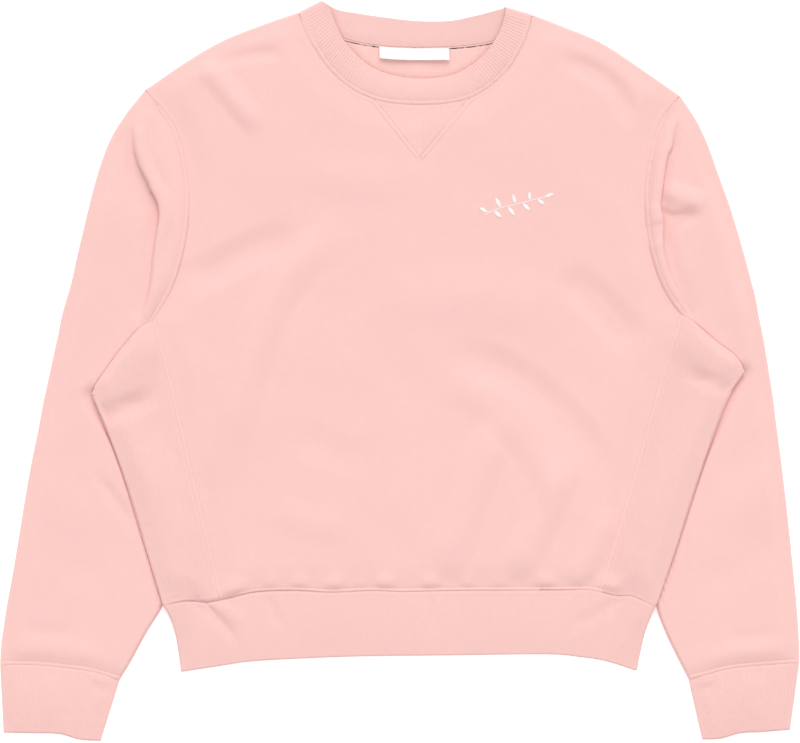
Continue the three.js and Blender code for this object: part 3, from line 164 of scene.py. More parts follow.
# Creases of the upper layer: rise (below 0 for a trough), spread to the path's left and right, and the path
BODY_FOLDS = [
    (5.0, 26, 22, [(-40, 142), (-87, 107), (-118, 66), (-136, 20), (-151, -35), (-168, -110)]),
    (-3.6, 22, 20, [(-206, 76), (-172, 92), (-143, 107), (-88, 132)]),
    (-3.8, 24, 22, [(142, 96), (178, 66), (224, 16)]),
    (-3.2, 22, 24, [(34, 20), (70, 12), (110, -6), (158, -49), (194, -108)]),
    (2.6, 24, 22, [(24, -8), (60, -18), (92, -35), (129, -81), (158, -146)]),
    (3.8, 24, 22, [(92, -30), (64, -118), (32, -200)]),
    (3.8, 22, 20, [(156, -70), (132, -130), (98, -196)]),
    (2.6, 17, 16, [(192, -120), (178, -164), (150, -204)]),
    (4.0, 14, 14, [(-186, 290), (-155, 254), (-124, 216)]),
    (-2.4, 10, 11, [(-176, 284), (-140, 291), (-104, 294)]),
    (-3.6, 15, 13, [(142, 291), (176, 276), (198, 260), (214, 222)]),
    (1.8, 34, 34, [(-40, 66), (20, 70), (80, 68), (160, 54)]),
    (1.4, 26, 26, [(-100, 190), (-40, 176), (20, 172)]),
    (-1.4, 22, 22, [(-96, -52), (-60, -74), (-20, -82)]),
    (1.3, 20, 20, [(-120, -120), (-84, -140), (-40, -142)]),
]
# Troughs in the side panels that run in from the tips of the underarm folds
GUSSET_FOLDS = [
    (-3.4, 15, 14, [(-312, -50), (-268, -40), (-216, -18)]),
    (-2.2, 11, 12, [(342, -30), (292, -14), (254, 6)]),
]
# The body gathered on to the hem band: x of each puff, its half length, its height
HEM_PUFFS = [
    (-152, 9, 1.7), (-120, 6, 0.8), (-92, 7, 1.2), (-60, 9, 1.5), (-36, 5, 0.7), (-14, 8, 1.7), (28, 8, 1.6),
    (62, 6, 0.9), (92, 6, 0.7), (133, 9, 1.6), (164, 6, 1.0), (193, 8, 1.5),
]
SLEEVE_FOLDS = {
    "right": [
        (2.2, 16, 12, [(-236, 236), (-222, 205), (-209, 170), (-204, 136), (-210, 100), (-220, 70), (-234, 50)]),
        (1.6, 26, 26, [(-268, 196), (-276, 130), (-284, 70), (-298, 10)]),
        (-1.8, 9, 10, [(-284, -88), (-262, -118), (-236, -150)]),
        (1.2, 26, 26, [(-340, -88), (-304, -126), (-258, -150)]),
        (-1.0, 24, 24, [(-346, -140), (-306, -176), (-258, -192)]),
        (1.1, 12, 14, [(-362, -252), (-330, -253), (-300, -255), (-268, -262)]),
        (-0.8, 9, 9, [(-352, -232), (-322, -240), (-298, -236)]),
    ],
    "left": [
        (1.4, 12, 14, [(256, 236), (244, 205), (236, 172), (234, 140), (241, 104), (252, 74), (266, 52)]),
        (-5.4, 10, 10, [(218, 117), (240, 131), (252, 138), (264, 142.5), (278, 147)]),
        (3.4, 14, 12, [(243, 174), (253, 163), (266, 158), (284, 154)]),
        (1.4, 22, 22, [(288, 182), (296, 124), (306, 72), (322, 18)]),
        (-1.2, 24, 22, [(346, -48), (318, -82), (286, -100)]),
        (1.2, 26, 26, [(354, -84), (318, -122), (276, -146)]),
        (-1.0, 22, 22, [(358, -140), (316, -178), (266, -198)]),
        (1.1, 14, 12, [(362, -252), (330, -256), (300, -260), (272, -268)]),
        (-0.8, 9, 9, [(350, -236), (322, -244), (300, -242)]),
    ],
}
# Sharp tucks at the sleeve heads: x, y, depth of the valley, its width, and how far the edge hangs over it
TUCKS = {
    "right": [
        (-244.7, 230, 1.6, 14, 0), (-243.8, 205.6, 4.2, 16, 0.8), (-240, 192, 6.2, 17, 2.2),
        (-232.5, 176.2, 7.8, 16, 3.0), (-226, 165, 8.6, 15, 3.4), (-221, 154.1, 9.0, 14, 3.4),
        (-219.9, 146.7, 8.8, 12, 3.0), (-220.8, 139.4, 6.8, 11, 2.0), (-223.6, 128, 4.2, 10, 0.9),
        (-226.3, 110, 3.2, 11, 0.5), (-230.9, 73, 2.8, 11, 0.3), (-241, 43.7, 1.2, 10, 0),
    ],
    "left": [
        (254.5, 234, 1.2, 8, 0), (251.5, 216, 2.2, 7, 0.5), (249.3, 205.6, 3.2, 6, 1.3),
        (245.6, 198.3, 3.4, 6, 1.4), (242.9, 183.5, 3.4, 6, 1.4), (241, 168.8, 3.2, 6, 1.3),
        (239.2, 154.1, 3.4, 7, 1.6), (239.2, 146.7, 5.4, 10, 2.6), (240.1, 139.4, 8.0, 14, 3.8),
        (240.1, 132, 8.0, 13, 3.8), (241, 124.7, 5.6, 11, 2.2), (242.9, 110, 3.8, 11, 0.8),
        (249.3, 87.9, 3.4, 11, 0.4), (256.7, 73.1, 3.0, 11, 0.3), (271.4, 43.7, 1.2, 10, 0),
    ],
}
HEM_FOLDS = [
    (-2.4, 6, 9, [(-196, -203), (-184, -213), (-168, -226), (-146, -250)]),
    (1.7, 8, 9, [(-176, -208), (-162, -218), (-140, -232)]),
    (-1.1, 8, 8, [(-120, -204), (-116, -222), (-104, -238)]),
    (-1.0, 9, 9, [(24, -203), (30, -224), (26, -244)]),
    (-1.6, 8, 9, [(204, -204), (194, -216), (176, -226), (150, -236)]),
    (1.2, 10, 10, [(222, -216), (214, -240), (204, -262)]),
]
CUFF_FOLDS = {
    "right": [
        (-1.8, 3.5, 3, [(-288, -286), (-272, -289), (-256, -293)]),
        (-1.0, 3, 3, [(-284, -301), (-272, -302.5), (-260, -302)]),
        (-1.0, 3, 3, [(-286, -310), (-274, -311.5), (-262, -311)]),
        (1.0, 14, 14, [(-318, -276), (-322, -326)]),
    ],
    "left": [
        (-1.6, 3, 3.5, [(258, -294), (276, -290), (292, -287)]),
        (-1.0, 3, 3, [(262, -306), (276, -305), (288, -303)]),
        (1.0, 14, 14, [(326, -276), (324, -324)]),
    ],
}


# Plan geometry
def ease(low, high, value):
    t = np.clip((np.asarray(value, float) - low) / (high - low), 0, 1)
    return t * t * (3 - 2 * t)


def mix(a, b, t):
    return a + (b - a) * t


def smooth(points, steps):
    """A smooth line through a table's points."""
    p = np.asarray(points, float)[:, :2]
    around = np.vstack([2 * p[0] - p[1], p, 2 * p[-1] - p[-2]])
    out = []
    for i in range(len(p) - 1):
        a, b, c, d = around[i : i + 4]
        t0, t1, t2 = (max(np.linalg.norm(q - r) ** 0.5, 1e-4) for q, r in ((b, a), (c, b), (d, c)))
        m1 = ((b - a) / t0 - (c - a) / (t0 + t1) + (c - b) / t1) * t1
        m2 = ((c - b) / t1 - (d - b) / (t1 + t2) + (d - c) / t2) * t1
        for k in range(steps):
            t = k / steps
            out.append(b + m1 * t + (3 * (c - b) - 2 * m1 - m2) * t * t + (2 * (b - c) + m1 + m2) * t ** 3)
    out.append(p[-1])
    return np.array(out)


def shares(line):
    """How far along a line each of its points is, from 0 to 1."""
    run = np.concatenate([[0], np.cumsum(np.hypot(*np.diff(line, axis=0).T))])
    return run / run[-1]


def length(line):
    return float(np.hypot(*np.diff(line, axis=0).T).sum())


def at(line, share):
    """The points at these shares of a line's length."""
    s = shares(line)
    return np.stack([np.interp(share, s, line[:, 0]), np.interp(share, s, line[:, 1])], -1)


def even(line, cells):
    return at(line, np.linspace(0, 1, cells + 1))


def near(line, x, y):
    """The nearest place on a line: distance, side (+1 on its left), run along it, whether past an end, total."""
    shape = np.shape(x)
    best, side, run = np.full(shape, np.inf), np.ones(shape), np.zeros(shape)
    past = np.zeros(shape, bool)
    done = 0.0
    for i in range(len(line) - 1):
        ax, ay = line[i]
        ux, uy = line[i + 1] - line[i]
        span = math.hypot(ux, uy) or 1e-9
        raw = ((x - ax) * ux + (y - ay) * uy) / (span * span)
        t = np.clip(raw, 0, 1)
        d = np.hypot(x - ax - ux * t, y - ay - uy * t)
        hit = d < best
        best = np.where(hit, d, best)
        side = np.where(hit, np.where(ux * (y - ay) - uy * (x - ax) > 0, 1, -1), side)
        run = np.where(hit, done + t * span, run)
        beyond = ((raw < 0) & (i == 0)) | ((raw > 1) & (i == len(line) - 2))
        past = np.where(hit, beyond, past)
        done += span
    return best, side, run, past, done


def creases(folds, x, y, strength=1.0):
    """The height that a table of creases adds."""
    total = np.zeros(np.shape(x))
    for rise, left, right, path in folds:
        d, side, run, _, whole = near(smooth(path, 6), x, y)
        across = np.clip(1 - (d / np.where(side > 0, left, right)) ** 2, 0, 1)
        share = run / whole
        total = total + strength * rise * across ** 2 * ease(0, 0.28, share) * ease(0, 0.28, 1 - share)
    return total


def offset(line, by):
    """A line moved sideways, to its left."""
    step = np.vstack([line[1] - line[0], line[2:] - line[:-2], line[-1] - line[-2]])
    step /= np.linalg.norm(step, axis=1, keepdims=True)
    return line + np.stack([-step[:, 1], step[:, 0]], -1) * by


def height_at(line):
    """y at x on a line that runs from low x to high x."""
    order = np.argsort(line[:, 0])
    xs, ys = line[order, 0], line[order, 1]
    return lambda x: np.interp(x, xs, ys)


ARMHOLE = {h: smooth([r[2:] for r in SLEEVES[h][: UNDERARM + 1]], 6) for h in HAND}
RIDGE = {h: smooth([r[2:] for r in SLEEVES[h][UNDERARM : TIP + 1]], 6) for h in HAND}
OUTER = {h: smooth([r[:2] for r in SLEEVES[h]], 6) for h in HAND}
FOLD = {h: smooth(SIDE_FOLD[h], 8) for h in HAND}
SIDE = {h: smooth(SIDE_SEAM[h], 8) for h in HAND}
SHOULDER = {h: smooth(SHOULDERS[h], 8) for h in HAND}
CUFF_LINE = {h: smooth(CUFF_SEAM[h], 8) for h in HAND}
NECK = smooth(NECK_SEAM, 6)
HEM = smooth(HEM_SEAM, 5)
HEM_BACK = smooth(BACK_HEM, 8)
HEM_Y = height_at(HEM)
HEM_BACK_Y = height_at(HEM_BACK)


def ridge_lap(share):
    return mix(-JOIN, RIDGE_LAP, ease(0.04, 0.4, share))


def inside(line, share, by, hand):
    """Points moved off a line towards the middle of the body."""
    share = np.asarray(share, float)
    p = at(line, share)
    a, b = at(line, np.maximum(0, share - 0.02)), at(line, np.minimum(1, share + 0.02))
    step = (b - a) / np.linalg.norm(b - a, axis=-1, keepdims=True)
    by = np.broadcast_to(np.asarray(by, float), share.shape)
    return p + np.stack([hand * step[:, 1] * by, -hand * step[:, 0] * by], -1)


SIDE_RUN = 455.0
LIFT_LINE = {}
for _hand in HAND:
    _share = np.array([0.36, 0.55, 0.78, 1])
    _hidden = np.array([r[2:] for r in SLEEVES[_hand][TIP + 1 :]], float)
    _lapped = inside(RIDGE[_hand], _share, ridge_lap(_share), HAND[_hand])
    LIFT_LINE[_hand] = np.vstack([_lapped, _hidden])


def lift(x, y):
    """How far the body's layers are raised where they lie over a sleeve."""
    most = np.zeros(np.shape(x))
    for h, sign in HAND.items():
        d, side, _, past, _ = near(LIFT_LINE[h], x, y)
        over = (side * sign > 0) & ~past
        most = np.maximum(most, np.where(over, 1, 1 - ease(LIFT_FLAT, LIFT_FLAT + LIFT_RUN, d)))
    return LIFT * most


def tuck(hand, x, y):
    """A sleeve head's tuck at these points: height it adds, and how far its edge moves them across."""
    rows = np.array(TUCKS[hand], float)
    line = smooth(rows, 6)
    d, side, run, _, whole = near(line, x, y)
    d = d * side * -HAND[hand]
    along = shares(line)
    depth, width, over = (np.interp(run / whole, along, smooth(rows[:, [k, k]], 6)[:, 0]) for k in (2, 3, 4))
    ends = ease(0, 0.06, run / whole) * ease(0, 0.06, 1 - run / whole)
    valley = np.exp(-((np.minimum(d, 0) / width) ** 2)) * (1 - ease(-1.4, 2.4, d))
    lip = bell(d, 5.5, 5) * 0.7 * np.minimum(depth, 4.5)
    push = over * ends * (bell(d, 2.6, 3.2) - 0.7 * bell(d, -1.6, 2.2))
    where = np.clip(run / whole, 0.002, 0.998)
    a, b = at(line, where - 0.002), at(line, where + 0.002)
    step = (b - a) / np.maximum(np.linalg.norm(b - a, axis=-1, keepdims=True), 1e-9)
    across = np.stack([-step[..., 1], step[..., 0]], -1) * HAND[hand]
    return (lip - valley * depth) * ends, across * push[..., None]


BODY_EDGES = [FOLD["right"], FOLD["left"], SHOULDER["right"], SHOULDER["left"]]
BODY_SEAMS = [ARMHOLE["right"], ARMHOLE["left"], SIDE["right"], SIDE["left"], HEM, NECK]


def nearest_of(lines, x, y):
    return np.minimum.reduce([near(line, x, y)[0] for line in lines])


def hem_puffs(x, y):
    """The puffs of cloth just above the hem seam."""
    above = y - HEM_Y(x) - 8
    total = np.zeros(np.shape(x))
    for middle, half, rise in HEM_PUFFS:
        total = total + 1.7 * rise * bell(x, middle, half * 1.1)
    return total * bell(above, 0, 7.5) * ease(-8, -1, above)


def dents(x, y):
    """The slight unevenness of cloth that has been worn and laid down."""
    one = np.sin(x / 19 + 1.4 * np.sin(y / 27)) * np.sin(y / 23 + 1.3 * np.sin(x / 31))
    two = np.sin(x / 9.5 + 1.1 * np.sin(y / 13) + 2) * np.sin(y / 11 + np.sin(x / 17))
    return 0.34 * one + 0.1 * two


def bell(d, centre, width):
    return np.exp(-(((d - centre) / width) ** 2))


def seam_dip(lines, x, y, seed=0.0):
    """The section across each seam: a groove at the join, a welt and a second groove where the stitches pull on
    one side, and small uneven puckers. A line comes with the side its welt is on, +1 for its left, and how far
    off the line the join's groove is."""
    total = np.zeros(np.shape(x))
    gap = mm(settings().stitch_gap)
    for k, (line, welt, shift) in enumerate(lines):
        d, side, run, past, _ = near(line, x, y)
        on = np.where(past, np.exp(-((d / 1.2) ** 2)), 1)
        d = d * side * welt - shift
        section = 0.34 * bell(d, gap / 2, 1.2) + 0.2 * bell(d, -1.9, 1.3) - 0.5 * bell(d, 0, 0.7)
        total += on * (section - 0.42 * bell(d, gap, 0.7))
        phase = run / 1.7 + 1.7 * np.sin(run / 9.3 + k + seed) + 1.1 * np.sin(run / 23.0 + 2 * k)
        uneven = 0.6 + 0.4 * np.sin(run / 31 + k + seed)
        total += on * mm(settings().pucker) * np.sin(phase) * np.exp(-np.abs(d - gap / 2) / 3.2) * uneven
    return total


def body_high(x, y):
    """Middle of the body's upper layer."""
    edge = nearest_of(BODY_EDGES, x, y)
    seam = nearest_of(BODY_SEAMS, x, y)
    loft = mix(LOFT_SEAM, LOFT, ease(0, LOFT_RUN, seam)) * ease(0, FOLD_RUN, edge)
    at_hem = near(HEM, x, y)[0]
    folds = creases(BODY_FOLDS, x, y) * ease(1, 16, at_hem) + creases(HEM_FOLDS, x, y) + hem_puffs(x, y)
    folds = (folds + dents(x, y) * ease(0, 14, seam)) * ease(0, FOLD_RUN, edge) * settings().crease
    return HIGH + lift(x, y) + np.maximum(0, loft + folds)


def body_low(x, y):
    return LOW + lift(x, y)


def sleeve_high(hand, x, y):
    """Middle of a sleeve's upper layer, plain where the body lies on it."""
    sign = HAND[hand]
    outer = near(OUTER[hand], x, y)[0]
    seam = near(ARMHOLE[hand], x, y)[0]
    cuff = near(CUFF_LINE[hand], x, y)[0]
    d, side, fold_run, past, _ = near(FOLD[hand], x, y)
    ridge, ridge_side, ridge_run, ridge_past, _ = near(RIDGE[hand], x, y)
    beside = mix(13, 2.2, ease(5, 50 if hand == "right" else 100, fold_run))
    covered = np.where((side * sign < 0) & (d > 0) & ~past, 0, ease(0, beside, d))
    outside = np.where((ridge_side * sign > 0) | (ridge_past & (ridge_run > 1)), ridge, 0)
    lapped = 1 - (1 - ease(0, 4, outside)) * ease(0, 16, ridge_run)
    rise = mix(LOFT_SEAM, LOFT, ease(0, 14, np.minimum(seam, cuff)))
    under = mix(lapped, 1, ease(-5, 5, ridge - seam))
    edge, edge_side, _, edge_past, _ = near(smooth(np.array(TUCKS[hand], float), 6), x, y)
    hidden = np.where(edge_past, 0, ease(-1, 2, -edge * edge_side * sign))
    runs = creases(SLEEVE_FOLDS[hand], x, y)
    runs = np.where(runs < 0, runs * (1 - hidden), runs)
    folds = runs + tuck(hand, x, y)[0] + dents(x + 40, y) * ease(0, 14, seam)
    height = rise + folds * settings().crease
    return HIGH + np.maximum(-0.8, height) * ease(0, FOLD_RUN, outer) * np.minimum(covered, under)


# Grids and shells
def settings():
    """The sizes and colours set in the panel."""
    return bpy.context.scene.sweatshirt


def mm(metres):
    return metres * 1000


def to_row_frame(points):
    """Table millimetres to the row frame's metres."""
    low = (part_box("sleeve_right")[0].x * 1000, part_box("cuff_right")[0].y * 1000)
    return (points + [low[0] - TABLE_LOW[0], low[1] - TABLE_LOW[1], 0]) / 1000


def cloth_uv(points, kind):
    """UVs in metres: the plan of a flat panel, or distances along the rows and the columns."""
    if kind == "plan":
        return points[..., :2] / 1000
    u = np.cumsum(np.linalg.norm(np.diff(points, axis=1, prepend=points[:, :1]), axis=-1), 1)
    v = np.cumsum(np.linalg.norm(np.diff(points, axis=0, prepend=points[:1]), axis=-1), 0)
    u -= u[:, [u.shape[1] // 4]]
    return np.stack([u, np.broadcast_to(v.mean(1, keepdims=True), v.shape)], -1) / 1000


def grid_mesh(bm, points, kind):
    """Adds a grid whose vertices lie on points[row][column], with a UV in metres."""
    rows, columns = points.shape[:2]
    spread = cloth_uv(points, kind)
    flat = to_row_frame(points)
    made = bmesh.new()
    made.loops.layers.uv.new("cloth")
    bmesh.ops.create_grid(made, x_segments=columns - 1, y_segments=rows - 1, size=1, calc_uvs=True)
    mesh = bpy.data.meshes.new("grid")
    made.to_mesh(mesh)
    made.free()
    place = np.empty(len(mesh.vertices) * 3)
    mesh.vertices.foreach_get("co", place)
    place = place.reshape(-1, 3)
    j = np.rint((place[:, 0] + 1) / 2 * (columns - 1)).astype(int)
    i = np.rint((place[:, 1] + 1) / 2 * (rows - 1)).astype(int)
    mesh.vertices.foreach_set("co", flat[i, j].ravel())
    corner = np.empty(len(mesh.loops), int)
    mesh.loops.foreach_get("vertex_index", corner)
    mesh.uv_layers["cloth"].data.foreach_set("uv", spread[i[corner], j[corner]].ravel())
    bm.from_mesh(mesh)
    bpy.data.meshes.remove(mesh)


def shell(name, grids, thick, up=True, weld=True):
    """A sheet of cloth through one or more grids, with a wall of even thickness."""
    bm = bmesh.new()
    for points, kind in grids:
        grid_mesh(bm, points, kind)
    if weld:
        bmesh.ops.remove_doubles(bm, verts=bm.verts, dist=2e-6)
    bmesh.ops.recalc_face_normals(bm, faces=bm.faces)
    facing = sum(f.normal.z * f.calc_area() for f in bm.faces)
    if up is not None and (facing > 0) != up:
        bmesh.ops.reverse_faces(bm, faces=bm.faces)
    mesh = bpy.data.meshes.new(name)
    bm.to_mesh(mesh)
    bm.free()
    mesh.polygons.foreach_set("use_smooth", [True] * len(mesh.polygons))
    obj = bpy.data.objects.new(name, mesh)
    bpy.context.scene.collection.objects.link(obj)
    wall = obj.modifiers.new("Wall", "SOLIDIFY")
    wall.thickness = thick / 1000
    wall.offset = 0
    return obj


def finish_piece(obj, material, node=None):
    obj.data.materials.append(material)
    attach(obj, "root")
    if node:
        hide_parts(node)
    return obj


def coons(bottom, top, left, right, u, v):
    """Plan points between four edges."""
    u, v = np.asarray(u)[None, :, None], np.asarray(v)[:, None, None]
    flat = (1 - u) * (1 - v) * bottom[0] + u * (1 - v) * bottom[-1] + (1 - u) * v * top[0] + u * v * top[-1]
    return (1 - v) * bottom[None] + v * top[None] + (1 - u) * left[:, None] + u * right[:, None] - flat


def with_height(plan, z):
    return np.concatenate([plan, np.asarray(z)[..., None]], -1)


def moved_off(points, off, closed):
    """Grid points moved off the sheet by an amount for each of them, square to it."""
    if closed:
        across = np.roll(points[:, :-1], -1, 1) - np.roll(points[:, :-1], 1, 1)
        across = np.concatenate([across, across[:, :1]], 1)
    else:
        across = np.gradient(points, axis=1)
    up = np.gradient(points, axis=0)
    n = np.cross(across, up)
    n /= np.maximum(np.linalg.norm(n, axis=-1, keepdims=True), 1e-9)
    return points + n * off[..., None]


def rib_wave(phase):
    """A rib's section: a broad round crest and a narrow groove, from 0 to 1."""
    return np.abs(np.cos(math.pi * phase)) ** 0.7


# Body
def top_edge(neck_parts, cell):
    """Top edge of a panel, right shoulder to left: points, way in, and share of the shoulder's roll."""
    k = close_steps(160.0, cell, both=False)
    inward = mix(0.69, 0.05, k)
    out, way, roll = [], [], []
    for h in ("right", "neck", "left"):
        if h == "neck":
            line = np.vstack([part[(0 if i == 0 else 1) :] for i, part in enumerate(neck_parts)])
            step = np.vstack([line[1] - line[0], line[2:] - line[:-2], line[-1] - line[-2]])
            step /= np.linalg.norm(step, axis=1, keepdims=True)
            out.append(line)
            way.append(np.stack([step[:, 1], -step[:, 0]], -1))
            roll.append(np.zeros(len(line)))
            continue
        p = at(SHOULDER[h], mix(0.004, 0.992, k))
        n = np.stack([-HAND[h] * inward, -np.sqrt(1 - inward ** 2)], -1)
        if h == "left":
            p, n = p[::-1], n[::-1]
        out.append(p)
        way.append(n)
        roll.append(np.ones(len(p)))
    return np.vstack(out), np.vstack(way), np.concatenate(roll)


def close_steps(total, cell, near_cell=0.42, band=6.5, both=True):
    """Shares along a length, close together within a band at its ends and wider between."""
    fine = list(np.arange(0, band, near_cell))
    step = near_cell
    while step < cell:
        step *= 1.35
        fine.append(fine[-1] + step)
    fine = np.array(fine)
    if not both:
        rest = np.linspace(fine[-1], total, max(2, round((total - fine[-1]) / cell)) + 1)[1:]
        return np.concatenate([fine, rest]) / total
    rest = np.linspace(fine[-1], total - fine[-1], max(2, round((total - 2 * fine[-1]) / cell)) + 1)[1:-1]
    return np.concatenate([fine, rest, (total - fine)[::-1]]) / total


def body_side(hand, cell):
    line = np.vstack([SIDE[hand][::-1], ARMHOLE[hand][::-1][1:], SHOULDER[hand][:1]])
    steps = close_steps(SIDE_RUN, cell)
    return at(line, steps) - [HAND[hand] * JOIN * 0.5, 0]


def body_panel(neck_parts, angles, high, hem_y, reach, cell):
    top, way, roll = top_edge(neck_parts, cell)
    left, right = body_side("right", cell), body_side("left", cell)
    u = shares(top)
    x = mix(left[0, 0], right[0, 0], u)
    bottom = np.stack([x, hem_y(x) + JOIN * 0.5], -1)
    left[0, 1], right[0, 1] = bottom[0, 1], bottom[-1, 1]
    v = (shares(left) + shares(right)) / 2
    inner = top + way * EDGE
    left[-1], right[-1] = inner[0], inner[-1]
    plan = coons(bottom, inner, left, right, u, v)
    z = high(plan[..., 0], plan[..., 1])
    rows = list(with_height(plan, z))
    for angle in angles:
        a = math.radians(angle)
        step = (90 - abs(angle)) / 90
        rolled = np.concatenate([top + way * (EDGE - FOLD_R * math.cos(a)),
                                 np.full((len(top), 1), FOLD_Z + FOLD_R * math.sin(a))], -1)
        inset = mix(EDGE, JOIN * 0.5, min(1, step * reach))
        flat = np.concatenate([top + way * inset, z[-1][:, None]], -1)
        rows.append(np.where(roll[:, None] > 0, rolled, flat))
    return np.array(rows)


def body_seams():
    """The body's seams with the side of each that its welt is on."""
    out = [(HEM, 1, -0.9), (NECK, 1, 0)] + [(line, -1, 0) for line in insert_edges()]
    for h, sign in HAND.items():
        out += [(ARMHOLE[h], sign, 0), (SIDE[h], -sign, -0.4)]
    return out


def front_high(x, y):
    return body_high(x, y) + seam_dip(body_seams(), x, y)


def insert_edges():
    a, b = NECK[INSERT_FROM * 6], NECK[INSERT_TO * 6]
    return [np.array([a, INSERT_APEX]), np.array([INSERT_APEX, b])]


NECK_CORNER = (21, -19)


def front_blocks(cell):
    """The front panel as three grids that share their edges: each side below its shoulder, and the middle
    below the neck and round the insert's notch."""
    low, high = NECK_CORNER
    one, two = INSERT_FROM * 6, INSERT_TO * 6
    neck = offset(NECK, -JOIN * 0.5)
    down, up = (offset(even(line, 8), -JOIN * 0.5) for line in insert_edges())
    parts = [neck[low : one + 1], down[1:], up[1:-1], neck[two : high + len(neck)]]
    corner = {"right": neck[low], "left": neck[high]}
    middle_top = np.vstack(parts)
    x_hem = {h: corner[h][0] * 0.93 for h in HAND}
    shared = {}
    for h in HAND:
        foot = np.array([x_hem[h], HEM_Y(x_hem[h]) + JOIN * 0.5])
        run = np.linalg.norm(corner[h] - foot)
        shared[h] = mix(foot, corner[h], close_steps(run, cell)[:, None])
    count = min(len(line) for line in shared.values())
    steps = close_steps(463.0, cell)
    blocks = []
    for h in HAND:
        shared[h] = at(np.array([shared[h][0], shared[h][-1]]), steps)
    parts_u = [close_steps(length(middle_top), cell, both=False)]
    stops = shares(middle_top)
    apex = stops[len(parts[0]) + len(parts[1]) - 1]
    u = np.concatenate([np.linspace(0, apex, round(apex * length(middle_top) / cell)),
                        np.linspace(apex, 1, round((1 - apex) * length(middle_top) / cell))[1:]])
    top = at(middle_top, u)
    x = mix(x_hem["right"], x_hem["left"], u)
    bottom = np.stack([x, HEM_Y(x) + JOIN * 0.5], -1)
    plan = coons(bottom, top, shared["right"], shared["left"], u, steps)
    blocks.append(with_height(plan, front_high(plan[..., 0], plan[..., 1])))
    for h, sign in HAND.items():
        steep = neck[: low + 1][::-1] if h == "right" else neck[high:]
        steep = at(steep, np.linspace(0, 0.996, round(length(steep) / cell)))
        inner_side = np.vstack([shared[h], steep[1:]])
        outer = np.vstack([SIDE[h][::-1], ARMHOLE[h][::-1][1:], SHOULDER[h][:1]]) - [sign * JOIN * 0.5, 0]
        rise = shares(outer)
        v_outer = np.concatenate([steps * 0.86, np.linspace(0.86, 1, len(steep))[1:]])
        outer_side = at(outer, v_outer)
        k = close_steps(160.0, cell, both=False)
        inward = mix(0.69, 0.05, k)
        edge = at(SHOULDER[h], mix(0.004, 0.997, k))
        way = np.stack([-sign * inward, -np.sqrt(1 - inward ** 2)], -1)
        top = edge + way * EDGE
        outer_side[-1], inner_side[-1] = top[0], top[-1]
        x = mix(outer_side[0, 0], x_hem[h], k)
        bottom = np.stack([x, HEM_Y(x) + JOIN * 0.5], -1)
        outer_side[0] = bottom[0]
        plan = coons(bottom, top, outer_side, inner_side, k, (v_outer + shares(inner_side)) / 2)
        rows = list(with_height(plan, front_high(plan[..., 0], plan[..., 1])))
        for angle in (72, 54, 36, 16):
            a = math.radians(angle)
            rows.append(with_height(edge + way * (EDGE - FOLD_R * math.cos(a)),
                                    np.full(len(k), FOLD_Z + FOLD_R * math.sin(a))))
        blocks.append(np.array(rows))
    return blocks


def build_front():
    """Front panel with the notch for the neck insert."""
    obj = shell("front_panel_cloth", [(points, "plan") for points in front_blocks(2.9)], mm(settings().wall))
    finish_piece(obj, cloth_material("Loopback face", "face"), "front_panel")
    return obj


def build_back():
    """Back panel, whose inner face shows in the neck opening."""
    neck = even(smooth(BACK_SEAM, 6)[4:-4], 60)
    points = body_panel([neck], [-72, -54, -36, -16], back_high, HEM_BACK_Y, 5, 5.5)
    obj = shell("back_panel_cloth", [(points, "plan")], mm(settings().wall), up=False)
    finish_piece(obj, cloth_material("Loopback inside", "inside"), "back_panel")
    return obj


def back_high(x, y):
    return body_low(x, y)


